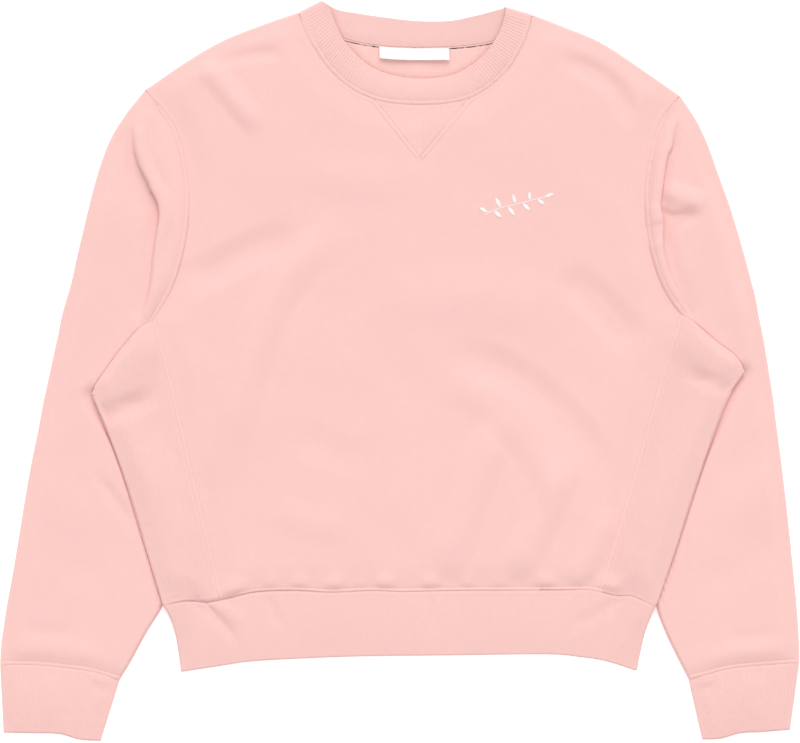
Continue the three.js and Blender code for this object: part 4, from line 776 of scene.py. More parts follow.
def side_points(hand):
    sign = HAND[hand]
    rows_n, upper_n, lower_n = 120, SIDE_RIBS * 3, 16
    stations = even(SIDE[hand], 200) + [sign * JOIN * 0.5, 0]
    start = mix(stations[0], stations[1], 0.9)
    front = even(np.vstack([start, stations[1:]]), rows_n)
    up = shares(front)
    fold = at(FOLD[hand], up)
    fold_end = fold + [-sign * EDGE * 0.94, -EDGE * 0.34]
    front[-1, 1] = HEM_Y(front[-1, 0]) + JOIN * 0.5
    fold_end[-1, 1] = HEM_Y(fold_end[-1, 0]) + JOIN * 0.5
    s = np.linspace(0, 1, upper_n + 1)
    ridge_top = inside(RIDGE[hand], s, 0 * s, sign)
    ridge_top[0], ridge_top[-1] = front[0], fold_end[0]
    x = mix(front[-1, 0], fold_end[-1, 0], s)
    hem = np.stack([x, HEM_Y(x) + JOIN * 0.5], -1)
    upper = coons(ridge_top, hem, front, fold_end, s, up)
    t = np.linspace(0, 1, lower_n + 1)
    lap = mix(ridge_lap(t) + 0.9, EDGE, ease(0.84, 1, t))
    lap_top = inside(RIDGE[hand], t, lap, sign)
    front_low = front.copy()
    lap_top[0] = front[0] + [0, -0.6]
    front_low[0], lap_top[-1] = lap_top[0], fold_end[0]
    x = mix(front[-1, 0], fold_end[-1, 0], t)
    hem_low = np.stack([x, HEM_BACK_Y(x) + JOIN * 0.5], -1)
    front_low[-1], hem_low[-1] = hem_low[0], fold_end[-1]
    lower = coons(lap_top, hem_low, front_low, fold_end, t, up)
    ux, uy = upper[..., 0], upper[..., 1]
    d, _, run, _, whole = near(RIDGE[hand], ux, uy)
    share = run / whole
    drop = 2.6 * ease(0.15, 0.4, share) * (1 - ease(0.72, 0.94, share)) * (1 - ease(0, 6, d))
    trough = creases(GUSSET_FOLDS, ux, uy, settings().crease) * ease(0, 7, near(FOLD[hand], ux, uy)[0])
    z = body_high(ux, uy) - drop + trough * ease(0, 8, near(SIDE[hand], ux, uy)[0])
    z += seam_dip([(SIDE[hand], -sign, -0.4), (HEM, 1, -0.9)], ux, uy)
    ribs = rib_wave(s * SIDE_RIBS + 0.5)[None, :] * mm(settings().rib) * 0.4 * ease(1, 5, near(HEM, ux, uy)[0])
    top = moved_off(with_height(upper, z), ribs * -sign, False)
    raised = lift(fold_end[:, 0], fold_end[:, 1])
    high = body_high(fold_end[:, 0], fold_end[:, 1])
    arc = []
    for angle in (60, 30, 0, -30, -60):
        a = math.radians(angle)
        reach = FOLD_R * math.cos(a)
        zz = FOLD_Z + raised + FOLD_R * math.sin(a) + (high - HIGH - raised) * 0.5
        arc.append(np.stack([fold_end[:, 0] + sign * 0.94 * reach, fold_end[:, 1] + 0.34 * reach, zz], -1))
    low = with_height(lower, body_low(lower[..., 0], lower[..., 1]))[:, ::-1]
    rows = np.concatenate([top, np.stack(arc, 1), low], 1)
    # The ridge's own edge rolls over and down on to the sleeve
    way = inside(RIDGE[hand], s, -1.0, sign) - inside(RIDGE[hand], s, 0.0, sign)
    radius = 0.02 + 1.7 * ease(0.02, 0.14, s) * ease(0.03, 0.12, 1 - s)
    roll = [top[0]]
    for angle in (68, 45, 22, 0, -25):
        a = math.radians(angle)
        plan = top[0, :, :2] + way * (radius * math.cos(a))[:, None]
        roll.append(with_height(plan, top[0, :, 2] - radius * (1 - math.sin(a))))
    return rows, np.array(roll)


def build_sides():
    """Ribbed side panels, folded round the body's edges."""
    out = []
    for hand in HAND:
        sheet, roll = side_points(hand)
        obj = shell(f"side_panel_{hand}_cloth", [(sheet, "run"), (roll, "run")], mm(settings().wall))
        finish_piece(obj, cloth_material("Rib knit", "rib"), f"side_panel_{hand}")
        out.append(obj)
    return out


# Sleeves
def sleeve_surface(hand, x, y):
    return sleeve_high(hand, x, y) + seam_dip([(ARMHOLE[hand], HAND[hand], 0), (CUFF_LINE[hand], -HAND[hand], 0)], x, y)


def cuff_ends(hand):
    ox, oy, ix, iy = SLEEVES[hand][-1]
    step = np.array([ox - ix, oy - iy])
    step *= EDGE / np.linalg.norm(step)
    return np.array([ix, iy]) + step, np.array([ox, oy]) - step


def cuff_sag(hand, share):
    inn, out = cuff_ends(hand)
    straight = mix(inn, out, np.asarray(share)[..., None])
    line = CUFF_LINE[hand]
    sag = height_at(line)(straight[..., 0]) - straight[..., 1]
    return sag * ease(0, 0.04, share) * ease(0, 0.04, 1 - np.asarray(share))


def sleeve_points(hand):
    sign = HAND[hand]
    stations = len(SLEEVES[hand])
    per = 24
    last = stations - 1
    head, rest = np.linspace(0, 8, 8 * 14 + 1), np.linspace(8, last - 0.5, 14 * 6)[1:]
    t = np.concatenate([head, rest, last - np.array([0.42, 0.36, 0.31, 0.27, 0.24, 0.21, 0.18, 0.15, 0.12, 0.09,
                                                     0.06, 0.03, 0])])
    fine = np.arange(last * per + 1) / per
    outs = smooth([r[:2] for r in SLEEVES[hand]], per)
    # The inner line has corners at the underarm and the tip
    inner = [r[2:] for r in SLEEVES[hand]]
    lapped_tip = tuple(inside(RIDGE[hand], [1.0], [RIDGE_LAP], sign)[0])
    inns = [smooth(part, per) for part in (inner[: UNDERARM + 1], inner[UNDERARM : TIP + 1],
                                           [lapped_tip, *inner[TIP + 1 :]])]
    inns = np.vstack([inns[0], inns[1][1:], inns[2][1:]])
    outs, inns = (np.stack([np.interp(t, fine, p[:, k]) for k in (0, 1)], -1) for p in (outs, inns))
    ridge_share = shares(RIDGE[hand])
    near_arm = np.concatenate([np.arange(0, 7, 0.5), np.arange(7, 38, 0.95), np.arange(38, 95, 2.8)]) / 95
    lower_n = 18
    open_rows, ring_rows = [], []
    arc = [math.radians(a) for a in (90, 67, 45, 22, 0, -22, -45, -67, -90)]
    for i, (out, inn) in enumerate(zip(outs, inns)):
        where = t[i]
        sag = max(0.0, 1 - (last - where) / 3)
        folded = where >= TIP + 1
        if where <= UNDERARM:
            inn = inn + [sign * JOIN * 0.5, 0]
        elif where <= TIP:
            share = (where - UNDERARM) / (TIP - UNDERARM)
            share = np.interp(share, np.linspace(0, 1, len(ridge_share)), ridge_share)
            inn = inside(RIDGE[hand], [share], ridge_lap(share), sign)[0]
        if i == 0:
            out, inn = out + [sign * JOIN * 0.5, -JOIN * 0.5], inn + [sign * JOIN * 0.5, -JOIN * 0.5]
        u = (out - inn) / np.linalg.norm(out - inn)
        out_end = out - u * EDGE
        in_end = inn + u * EDGE * min(1.0, max(0.0, where - TIP))
        across = mix(np.linspace(0, 1, len(near_arm) + 1)[:-1], near_arm, 1 - 0.7 * ease(9, 14, where))
        p = mix(in_end, out_end, across[:, None])
        p[:, 1] += cuff_sag(hand, across) * sag
        x, y = p.T
        z = sleeve_surface(hand, x, y)
        moved = tuck(hand, x, y)[1]
        x, y = x + moved[:, 0], y + moved[:, 1]
        over = np.stack([x, y, z], -1)
        bend = np.array([[out_end[0] + u[0] * FOLD_R * math.cos(a), out_end[1] + u[1] * FOLD_R * math.cos(a),
                          FOLD_Z + FOLD_R * math.sin(a)] for a in arc])
        share = np.arange(1, lower_n + 1) / lower_n
        p = mix(out_end, in_end, share[:, None])
        p[:, 1] += cuff_sag(hand, 1 - share) * sag
        under = np.concatenate([p, np.full((lower_n, 1), LOW)], -1)
        line = np.vstack([over, bend, under])
        open_rows.append(line)
        if folded:
            back = np.array([[in_end[0] - u[0] * FOLD_R * math.cos(a), in_end[1] - u[1] * FOLD_R * math.cos(a),
                              FOLD_Z - FOLD_R * math.sin(a)] for a in arc])
            back[0], back[-1] = line[-1], line[0]
            ring_rows.append(back)
    return np.array(open_rows), np.array(ring_rows)


def build_sleeves():
    """Sleeves, open at the armhole and closed rings below the body's edge."""
    out = []
    for hand, area in (("right", 0.101), ("left", 0.0875)):
        sheet, ring = sleeve_points(hand)
        grids = [(sheet, "run"), (ring, "run")]
        obj = shell(f"sleeve_{hand}_cloth", grids, mm(settings().wall))
        finish_piece(obj, cloth_material("Loopback face", "face"), f"sleeve_{hand}")
        out.append(obj)
    return out


# Ribbed rings
# Shares of a band's width, close together at its seam
RING_STEPS = np.array([0, 0.4, 0.8, 1.2, 1.6, 2.1, 2.8, 3.8, 5.2, 7.0]) / 62


def ring_points(sections, upper_n, lower_n):
    """Rows round a flattened ring: over the top, round one fold, back underneath and round the other."""
    rows = []
    arc = [math.radians(a) for a in (60, 30, 0, -30, -60)]
    for sec in sections:
        s = np.linspace(0, 1, upper_n + 1)
        up = sec["upper"](s)
        top = with_height(up, sec["high"](up[:, 0], up[:, 1]))
        s = np.linspace(1, 0, lower_n + 1)
        lo = sec["lower"](s)
        low = with_height(lo, sec["low"](lo[:, 0], lo[:, 1]))
        turns = []
        for which, order in ((-1, 1), (0, -1)):
            p = top[which, :2]
            way = sec["ends"][which]
            hi, lw = sec["high"](*p), sec["low"](*p)
            bend = [[p[0] + way * FOLD_R * math.cos(a), p[1], (hi + lw) / 2 + (hi - lw) / 2 * math.sin(a)] for a in arc]
            turns.append(np.array(bend)[::order])
        rows.append(np.vstack([top, turns[0], low, turns[1], top[:1]]))
    return np.array(rows)


def ring_ribs(upper_n, lower_n, ribs, depth):
    """How far the ribs stand off round the ring. Underneath, the grooves go in and the crests lie flat."""
    s = np.linspace(0, 1, upper_n + 1)
    top = rib_wave(s * ribs + 0.5) * depth * ease(0, 0.01, s) * ease(0, 0.01, 1 - s)
    s = np.linspace(1, 0, lower_n + 1)
    low = (rib_wave(s * ribs + 0.5) - 1) * depth * ease(0, 0.01, s) * ease(0, 0.01, 1 - s)
    return np.concatenate([top, np.zeros(5), low, np.zeros(5), top[:1]])


def rib_fade(rows):
    """The ribs start just below the seam's stitches."""
    fade = np.ones((rows, 1))
    fade[: len(RING_STEPS), 0] = ease(1.2 / 62, 4.5 / 62, RING_STEPS)
    return fade


def hem_points():
    edge_y = height_at(smooth(HEM_EDGE, 4))
    side_r, side_l = smooth(HEM_SIDES["right"], 6), smooth(HEM_SIDES["left"], 6)
    top = (side_r[0, 0] + EDGE, side_l[0, 0] - EDGE)
    foot = (side_r[-1, 0] + EDGE, side_l[-1, 0] - EDGE)
    sections = []
    for v in np.concatenate([RING_STEPS, np.linspace(0.16, 0.94, 9), [0.975, 1]]):
        a = at(side_r, np.array([v]))[0, 0] + EDGE
        b = at(side_l, np.array([v]))[0, 0] - EDGE

        def layer(top_y, v=v, a=a, b=b):
            def points(share):
                x = mix(top[0], top[1], share)
                high = top_y(x) - JOIN
                low = edge_y(mix(foot[0], foot[1], share))
                return np.stack([mix(a, b, share), mix(high, low, v)], -1)
            return points

        def high(x, y, v=v):
            gap = np.minimum(near(side_r, x, y)[0], near(side_l, x, y)[0])
            loft = LOFT_SEAM + 1.2 * math.sin(math.pi * v) + creases(HEM_FOLDS, x, y, settings().crease)
            pucker = seam_dip([(HEM, 1, -0.9)], x, y)
            return HIGH + lift(x, y) + (np.maximum(0, loft) + pucker) * ease(0, FOLD_RUN, gap)

        sections.append({"upper": layer(HEM_Y), "lower": layer(HEM_BACK_Y), "high": high,
                         "low": lambda x, y: body_low(x, y), "ends": {0: -1, -1: 1}})
    upper_n, lower_n = HEM_RIBS * 4, HEM_RIBS * 2
    points = ring_points(sections, upper_n, lower_n)
    ribs = ring_ribs(upper_n, lower_n, HEM_RIBS, mm(settings().rib) * 0.2)
    return moved_off(points, -ribs * rib_fade(len(points)), True)


def build_hem():
    """Hem band, a ribbed ring laid flat."""
    obj = shell("hem_band_cloth", [(hem_points(), "run")], mm(settings().wall))
    finish_piece(obj, cloth_material("Rib knit", "rib"), "hem_band")
    return obj


def cuff_points(hand):
    sign = HAND[hand]
    inn, out = cuff_ends(hand)
    foot = smooth(CUFF_EDGE[hand], 6)
    total = length(foot)
    seam = CUFF_LINE[hand]
    seam_y = height_at(seam)
    sections = []
    for v in np.concatenate([RING_STEPS, np.linspace(0.16, 0.92, 9), [0.97, 1]]):
        def layer(v=v):
            def points(share):
                x = mix(out[0], inn[0], share)
                straight = mix(out[1], inn[1], share)
                y = straight + (seam_y(x) - straight) * ease(0, 0.04, share) * ease(0, 0.04, 1 - share)
                p = np.stack([x, y - JOIN], -1)
                q = at(foot, (EDGE + (total - 2 * EDGE) * share) / total)
                return mix(p, q, v)
            return points

        a, b = mix(seam[0], foot[0], v), mix(seam[-1], foot[-1], v)

        def high(x, y, v=v, a=a, b=b):
            gap = np.minimum(np.hypot(x - a[0], y - a[1]), np.hypot(x - b[0], y - b[1]))
            loft = LOFT_SEAM + 1.4 * math.sin(math.pi * v) + creases(CUFF_FOLDS[hand], x, y, settings().crease)
            pucker = seam_dip([(CUFF_LINE[hand], -sign, 0)], x, y)
            return HIGH + (np.maximum(0, loft) + pucker) * ease(2, 16, gap)

        sections.append({"upper": layer(), "lower": layer(), "high": high,
                         "low": lambda x, y: LOW + 0 * x, "ends": {0: sign, -1: -sign}})
    upper_n, lower_n = CUFF_RIBS * 6, CUFF_RIBS * 4
    points = ring_points(sections, upper_n, lower_n)
    ribs = ring_ribs(upper_n, lower_n, CUFF_RIBS, mm(settings().rib) * 0.38)
    return moved_off(points, ribs * sign * rib_fade(len(points)), True)


def build_cuffs():
    """Ribbed cuffs, laid flat."""
    out = []
    for hand in HAND:
        obj = shell(f"cuff_{hand}_cloth", [(cuff_points(hand), "run")], mm(settings().wall))
        finish_piece(obj, cloth_material("Rib knit", "rib"), f"cuff_{hand}")
        out.append(obj)
    return out


# Collar
def collar_points():
    seam_front = offset(NECK, JOIN)
    free_front = smooth(NECK_FREE, 6)
    seam_back = offset(smooth(BACK_SEAM, 6), JOIN * 0.5)
    free_back = smooth(BACK_FREE, 6)

    def drawn(line, share):
        total = length(line)
        return at(line, (EDGE + (total - 2 * EDGE) * share) / total)

    front_n, back_n = COLLAR_FRONT_RIBS * 6, COLLAR_BACK_RIBS * 5
    rows, ribs = [], []
    for v in np.concatenate([[0, 0.02, 0.04, 0.06, 0.08, 0.105, 0.135, 0.17], np.linspace(0.22, 0.9, 8), [0.96, 1]]):
        s = np.linspace(0, 1, front_n + 1)
        front = mix(drawn(seam_front, s), drawn(free_front, s), v)
        bulge = math.sin(math.pi * min(1, v * 0.96 + 0.02))
        full = ease(0, 0.14, s) * ease(0, 0.14, 1 - s)
        dip = seam_dip([(NECK, 1, 0)], front[:, 0], front[:, 1])
        top = with_height(front, HIGH + full * (LOFT_SEAM + 1.5 * bulge + dip))
        b = np.linspace(1, 0, back_n + 1)
        back = mix(drawn(seam_back, b), drawn(free_back, b), v)
        full_b = ease(0.05, 0.3, b) * ease(0.05, 0.3, 1 - b)
        low = with_height(back, LOW + full_b * (0.3 + 0.8 * ease(0, 0.3, v) * (1 - ease(0.2, 1.1, v))))

        def tip(f, g, f2, g2):
            middle = (f + g) / 2
            way = (f2 + g2) / 2 - middle
            way /= np.linalg.norm(way)
            out = []
            for angle in (60, 30, 0, -30, -60):
                a = math.radians(angle)
                base = mix(f, g, 0.5 - 0.5 * math.sin(a)) - way * FOLD_R * math.cos(a)
                out.append([*base, FOLD_Z + FOLD_R * math.sin(a)])
            return np.array(out)

        inset = front_n // 50
        inset_b = back_n // 50
        left = tip(front[-1], back[0], front[-1 - inset], back[inset_b])
        right = tip(front[0], back[-1], front[inset], back[-1 - inset_b])[::-1]
        rows.append(np.vstack([top, left, low, right, top[:1]]))
        start = ease(0.05, 0.17, v)
        wave_f = start * rib_wave(s * COLLAR_FRONT_RIBS + 0.5) * ease(0, 0.02, s) * ease(0, 0.02, 1 - s)
        wave_f *= mix(0.4, 1.35, ease(0.08, 0.3, np.abs(s - 0.5)))
        wave_b = -0.3 * start * rib_wave(b * COLLAR_BACK_RIBS + 0.5) * ease(0, 0.02, b) * ease(0, 0.02, 1 - b)
        ribs.append(np.concatenate([wave_f, np.zeros(5), wave_b, np.zeros(5), wave_f[:1]]))
    points = np.array(rows)
    return moved_off(points, np.array(ribs) * mm(settings().rib) * 0.55, True)


def build_collar():
    """Collar band, a ribbed ring laid flat round the neck opening."""
    obj = shell("collar_band_cloth", [(collar_points(), "run")], mm(settings().wall))
    finish_piece(obj, cloth_material("Neck rib knit", "neck"), "collar_band")
    return obj


def build_insert():
    """Ribbed triangle set in below the front of the collar."""
    start, end = NECK[INSERT_FROM * 6], NECK[INSERT_TO * 6]
    top_y = height_at(NECK[INSERT_FROM * 6 : INSERT_TO * 6 + 1])
    apex = INSERT_APEX

    def low_y(x):
        left = mix(start[1], apex[1], (x - start[0]) / (apex[0] - start[0]))
        right = mix(apex[1], end[1], (x - apex[0]) / (end[0] - apex[0]))
        return np.where(x < apex[0], left, right) + JOIN * 2

    cells = INSERT_RIBS * 6
    x = np.linspace(start[0] + 0.3, end[0] - 0.3, cells + 1)
    rows = []
    for v in np.linspace(0, 1, 26):
        y = mix(low_y(x), top_y(x) - JOIN, v)
        rows.append(np.stack([x, y, front_high(x, y)], -1))
    wave = rib_wave(np.linspace(0, 1, cells + 1) * INSERT_RIBS + 0.5) * mm(settings().rib) * 0.16
    points = np.array(rows)
    edge = nearest_of([*insert_edges(), NECK], points[..., 0], points[..., 1])
    points = moved_off(points, wave * ease(1.5, 5, edge), False)
    obj = shell("neck_insert_cloth", [(points, "run")], mm(settings().wall))
    finish_piece(obj, cloth_material("Neck rib knit", "neck"), "neck_insert")
    return obj


def build_label():
    """Woven label with a plain face, sewn in along its top edge."""
    seam_y = height_at(smooth(BACK_SEAM, 6))
    x = np.linspace(-19.2, 45.2, 61)
    rows = []
    for v in np.linspace(0, 1, 15):
        y = np.minimum(seam_y(x) - SEAM - 0.6, 300.2 + (x + 19.2) * -0.048) - 11 * v
        z = 2.2 + 0.5 + 2.6 * v * v + 0.5 * v * np.sin((x + 19.2) / 8.05 * 1.1)
        rows.append(np.stack([x + 0.5 * v, y, z], -1))
    obj = shell("neck_label_cloth", [(np.array(rows), "plan")], 0.5)
    finish_piece(obj, label_material(), "neck_label")
    return obj


# Materials
def group(name, inputs, outputs, build):
    """A shader node group, made once."""
    if name in bpy.data.node_groups:
        return bpy.data.node_groups[name]
    tree = bpy.data.node_groups.new(name, "ShaderNodeTree")
    for label, kind, value in inputs:
        socket = tree.interface.new_socket(label, in_out="INPUT", socket_type=kind)
        if value is not None:
            socket.default_value = value
    for label, kind in outputs:
        tree.interface.new_socket(label, in_out="OUTPUT", socket_type=kind)
    build(tree, tree.nodes.new("NodeGroupInput"), tree.nodes.new("NodeGroupOutput"))
    return tree


def math_node(tree, operation, a, b=None, c=None):
    node = tree.nodes.new("ShaderNodeMath")
    node.operation = operation
    for k, value in enumerate((a, b, c)):
        if value is None:
            continue
        if isinstance(value, (int, float)):
            node.inputs[k].default_value = value
        else:
            tree.links.new(value, node.inputs[k])
    return node.outputs[0]


def noise_node(tree, vector, scale, detail=3.0, rough=0.5):
    node = tree.nodes.new("ShaderNodeTexNoise")
    node.inputs["Scale"].default_value = scale
    node.inputs["Detail"].default_value = detail
    node.inputs["Roughness"].default_value = rough
    tree.links.new(vector, node.inputs["Vector"])
    return node.outputs["Fac"]


def knit_group():
    """Columns of small V-shaped loops. The vector is the cloth's own UV in metres."""
    def build(tree, inp, out):
        split = tree.nodes.new("ShaderNodeSeparateXYZ")
        tree.links.new(inp.outputs["UV"], split.inputs[0])
        u = math_node(tree, "DIVIDE", split.outputs["X"], inp.outputs["Wale"])
        v = math_node(tree, "DIVIDE", split.outputs["Y"], inp.outputs["Course"])
        side = math_node(tree, "PINGPONG", u, 0.5)
        slant = math_node(tree, "ADD", v, math_node(tree, "MULTIPLY", side, 1.1))
        loop = math_node(tree, "SINE", math_node(tree, "MULTIPLY", slant, math.tau))
        column = math_node(tree, "SINE", math_node(tree, "MULTIPLY", side, math.tau))
        body = math_node(tree, "MULTIPLY_ADD", loop, 0.25, 0.5)
        height = math_node(tree, "MULTIPLY", body, math_node(tree, "POWER", math_node(tree, "ABSOLUTE", column), 0.5))
        tree.links.new(height, out.inputs["Height"])
    return group("Knit loops", [("UV", "NodeSocketVector", None), ("Wale", "NodeSocketFloat", 0.0011),
                                ("Course", "NodeSocketFloat", 0.0009)], [("Height", "NodeSocketFloat")], build)


def mottle_group():
    """Uneven dye and lint: a base colour varied at three scales."""
    def build(tree, inp, out):
        wide = noise_node(tree, inp.outputs["Place"], 9.0, 2.0)
        mid = noise_node(tree, inp.outputs["Place"], 130.0, 3.0)
        fine = noise_node(tree, inp.outputs["Place"], 900.0, 2.0, 0.7)
        total = math_node(tree, "MULTIPLY_ADD", wide, 0.3, math_node(tree, "MULTIPLY", mid, 0.25))
        total = math_node(tree, "MULTIPLY_ADD", fine, 0.45, total)
        mask = math_node(tree, "MULTIPLY", math_node(tree, "SUBTRACT", total, 0.5), inp.outputs["Amount"])
        shade = math_node(tree, "ADD", mask, 0.5)
        blend = tree.nodes.new("ShaderNodeMix")
        blend.data_type = "RGBA"
        tree.links.new(shade, blend.inputs["Factor"])
        tree.links.new(inp.outputs["Deep"], blend.inputs[6])
        tree.links.new(inp.outputs["Pale"], blend.inputs[7])
        tree.links.new(blend.outputs[2], out.inputs["Colour"])
        tree.links.new(fine, out.inputs["Lint"])
    return group("Cloth mottle", [("Place", "NodeSocketVector", None), ("Deep", "NodeSocketColor", None),
                                  ("Pale", "NodeSocketColor", None), ("Amount", "NodeSocketFloat", 1.0)],
                 [("Colour", "NodeSocketColor"), ("Lint", "NodeSocketFloat")], build)


def pile_group():
    """Small uneven loops of a terry back."""
    def build(tree, inp, out):
        cells = tree.nodes.new("ShaderNodeTexVoronoi")
        cells.inputs["Scale"].default_value = 620
        cells.inputs["Randomness"].default_value = 0.8
        tree.links.new(inp.outputs["Place"], cells.inputs["Vector"])
        clump = noise_node(tree, inp.outputs["Place"], 190, 3.0, 0.6)
        loop = math_node(tree, "SUBTRACT", 1.0, cells.outputs["Distance"])
        height = math_node(tree, "MULTIPLY_ADD", loop, 0.6, math_node(tree, "MULTIPLY", clump, 0.8))
        tree.links.new(height, out.inputs["Height"])
    return group("Terry loops", [("Place", "NodeSocketVector", None)], [("Height", "NodeSocketFloat")], build)


def shades(colour, spread):
    """A darker and a paler tone round a colour."""
    c = np.array(colour[:3])
    return (*np.clip(c * (1 - spread), 0, 1), 1), (*np.clip(c * (1 + spread), 0, 1), 1)


def base_material(name, rough, sheen):
    mat = bpy.data.materials.new(name)
    mat.use_nodes = True
    shader = mat.node_tree.nodes["Principled BSDF"]
    shader.inputs["Roughness"].default_value = rough
    shader.inputs["Sheen Weight"].default_value = sheen
    shader.inputs["Sheen Roughness"].default_value = 0.5
    shader.inputs["Specular IOR Level"].default_value = 0.2
    return mat, mat.node_tree, shader


def call(tree, made, **links):
    node = tree.nodes.new("ShaderNodeGroup")
    node.node_tree = made
    for key, value in links.items():
        socket = node.inputs[key]
        if isinstance(value, bpy.types.NodeSocket):
            tree.links.new(value, socket)
        else:
            socket.default_value = value
    return node


def bump(tree, shader, height, distance, strength=1.0, normal=None):
    node = tree.nodes.new("ShaderNodeBump")
    node.inputs["Distance"].default_value = distance
    node.inputs["Strength"].default_value = strength
    tree.links.new(height, node.inputs["Height"])
    if normal is not None:
        tree.links.new(normal, node.inputs["Normal"])
    return node.outputs["Normal"]


def cloth_material(name, kind):
    if name in bpy.data.materials:
        return bpy.data.materials[name]
    s = settings()
    # Painted light: the collar and the neck insert take the rib colour painted 2% lighter, to offset the shade in their
    # ribs.
    neck = [min(1, c * 1.02) for c in s.rib_colour]
    # The inside colour is the loopback's own tone, painted lighter to offset the shade in the neck opening.
    colour = {"face": s.face_colour, "inside": s.inside_colour, "rib": s.rib_colour, "neck": neck}[kind]
    mat, tree, shader = base_material(name, 0.92, 0.12)
    coord = tree.nodes.new("ShaderNodeTexCoord")
    deep, pale = shades(colour, 0.05 if kind != "inside" else 0.08)
    mottle = call(tree, mottle_group(), Place=coord.outputs["Object"], Deep=deep, Pale=pale, Amount=1.6)
    tree.links.new(mottle.outputs["Colour"], shader.inputs["Base Color"])
    normal = bump(tree, shader, mottle.outputs["Lint"], 0.0002, 0.5)
    if kind == "inside":
        pile = call(tree, pile_group(), Place=coord.outputs["Object"])
        normal = bump(tree, shader, pile.outputs["Height"], 0.0006, 0.8, normal)
    else:
        wale = 0.0011 if kind == "face" else 0.0007
        knit = call(tree, knit_group(), UV=coord.outputs["UV"], Wale=wale, Course=0.0009)
        normal = bump(tree, shader, knit.outputs["Height"], 0.00025, 0.6, normal)
    tree.links.new(normal, shader.inputs["Normal"])
    return mat


def label_material():
    mat, tree, shader = base_material("Woven label", 0.6, 0.1)
    coord = tree.nodes.new("ShaderNodeTexCoord")
    deep, pale = shades(settings().label_colour, 0.03)
    mottle = call(tree, mottle_group(), Place=coord.outputs["Object"], Deep=deep, Pale=pale, Amount=1.2)
    tree.links.new(mottle.outputs["Colour"], shader.inputs["Base Color"])
    weave = call(tree, knit_group(), UV=coord.outputs["UV"], Wale=0.0004, Course=0.0003)
    normal = bump(tree, shader, weave.outputs["Height"], 0.0001, 0.5)
    tree.links.new(normal, shader.inputs["Normal"])
    return mat


def thread_material(name, colour):
    if name in bpy.data.materials:
        return bpy.data.materials[name]
    mat, tree, shader = base_material(name, 0.6, 0.1)
    coord = tree.nodes.new("ShaderNodeTexCoord")
    deep, pale = shades(colour, 0.06)
    mottle = call(tree, mottle_group(), Place=coord.outputs["Object"], Deep=deep, Pale=pale, Amount=1.5)
    tree.links.new(mottle.outputs["Colour"], shader.inputs["Base Color"])
    twist = call(tree, knit_group(), UV=coord.outputs["UV"], Wale=0.0006, Course=0.0004)
    normal = bump(tree, shader, twist.outputs["Height"], 0.0001, 0.6)
    tree.links.new(normal, shader.inputs["Normal"])
    return mat


# Stitches
def thread_tube(line, z, stitch, radius, around=6):
    """A run of stitches along a line: a thread that dips into the cloth between one stitch and the next."""
    total = length(line)
    count = max(2, round(total / stitch))
    per = 5
    s = np.linspace(0, 1, count * per + 1)
    p = at(line, s)
    step = np.gradient(p, axis=0)
    step /= np.linalg.norm(step, axis=1, keepdims=True)
    side = np.stack([-step[:, 1], step[:, 0]], -1)
    arch = np.abs(np.sin(math.pi * s * count)) ** 0.5
    height = z(p[:, 0], p[:, 1]) + mix(-0.5, 0.15, arch)
    fat = radius * mix(0.45, 1, arch)
    turn = np.linspace(0, math.tau, around + 1)
    rows = []
    for a in turn:
        out = p + side * (fat * math.cos(a))[:, None]
        rows.append(np.concatenate([out, (height + fat * math.sin(a) * 0.8)[:, None]], -1))
    return np.array(rows), "run"


def seam_threads():
    """The rows of stitches: two along the hem, side, armhole and insert seams and one along each cuff seam, with the
    height of the cloth they lie on.
    """
    gap = mm(settings().stitch_gap)
    half = mm(settings().wall) / 2
    out = {"body": [], "sleeves": []}

    def on_body(x, y):
        return front_high(x, y) + half

    out["body"] += [(offset(HEM, gap - 0.9)[2:-2], on_body), (offset(HEM, -0.9)[2:-2], on_body)]
    for hand, sign in HAND.items():
        def on_sleeve(x, y, hand=hand):
            return sleeve_surface(hand, x, y) + half

        arm, side = ARMHOLE[hand], SIDE[hand]
        out["body"] += [(offset(side, -sign * (gap - 0.4))[2:], on_body), (offset(side, sign * 0.4), on_body)]
        out["sleeves"] += [(offset(arm, sign * gap)[3:-3], on_sleeve), (arm[1:-1], on_sleeve)]
        out["sleeves"] += [(offset(CUFF_LINE[hand], -sign * gap)[3:-3], on_sleeve)]
    for line in insert_edges():
        line = even(line, 30)
        out["body"] += [(offset(line, -gap)[2:-2], on_body), (line[1:-1], on_body)]
    return out


def build_stitching():
    """Double rows of stitches along the seams."""
    made = []
    for name, lines in seam_threads().items():
        grids = []
        for line, z in lines:
            grids.append(thread_tube(line, z, mm(settings().stitch_length), 0.36))
        obj = shell(f"stitching_{name}", grids, 0.05)
        obj.modifiers.clear()
        finish_piece(obj, thread_material("Seam thread", settings().thread_colour), None)
        made.append(obj)
    return made


# Chest sprig
LEAVES = [
    # root x, root y, direction in degrees, length, width
    (80.5, 146.0, 150, 9.0, 3.6), (86.0, 147.5, -40, 9.5, 3.8), (92.5, 150.5, 118, 10.0, 4.0),
    (99.0, 151.2, -52, 10.0, 4.0), (106.0, 154.0, 105, 9.6, 3.8), (112.5, 154.5, -45, 9.6, 3.8),
    (119.5, 157.0, 96, 8.4, 3.4), (126.0, 158.2, -36, 8.6, 3.4), (133.0, 160.2, 20, 9.0, 3.4),
]
STEM = [(77.5, 143.5), (90, 149.5), (104, 152.8), (119, 156.8), (134, 160.5)]


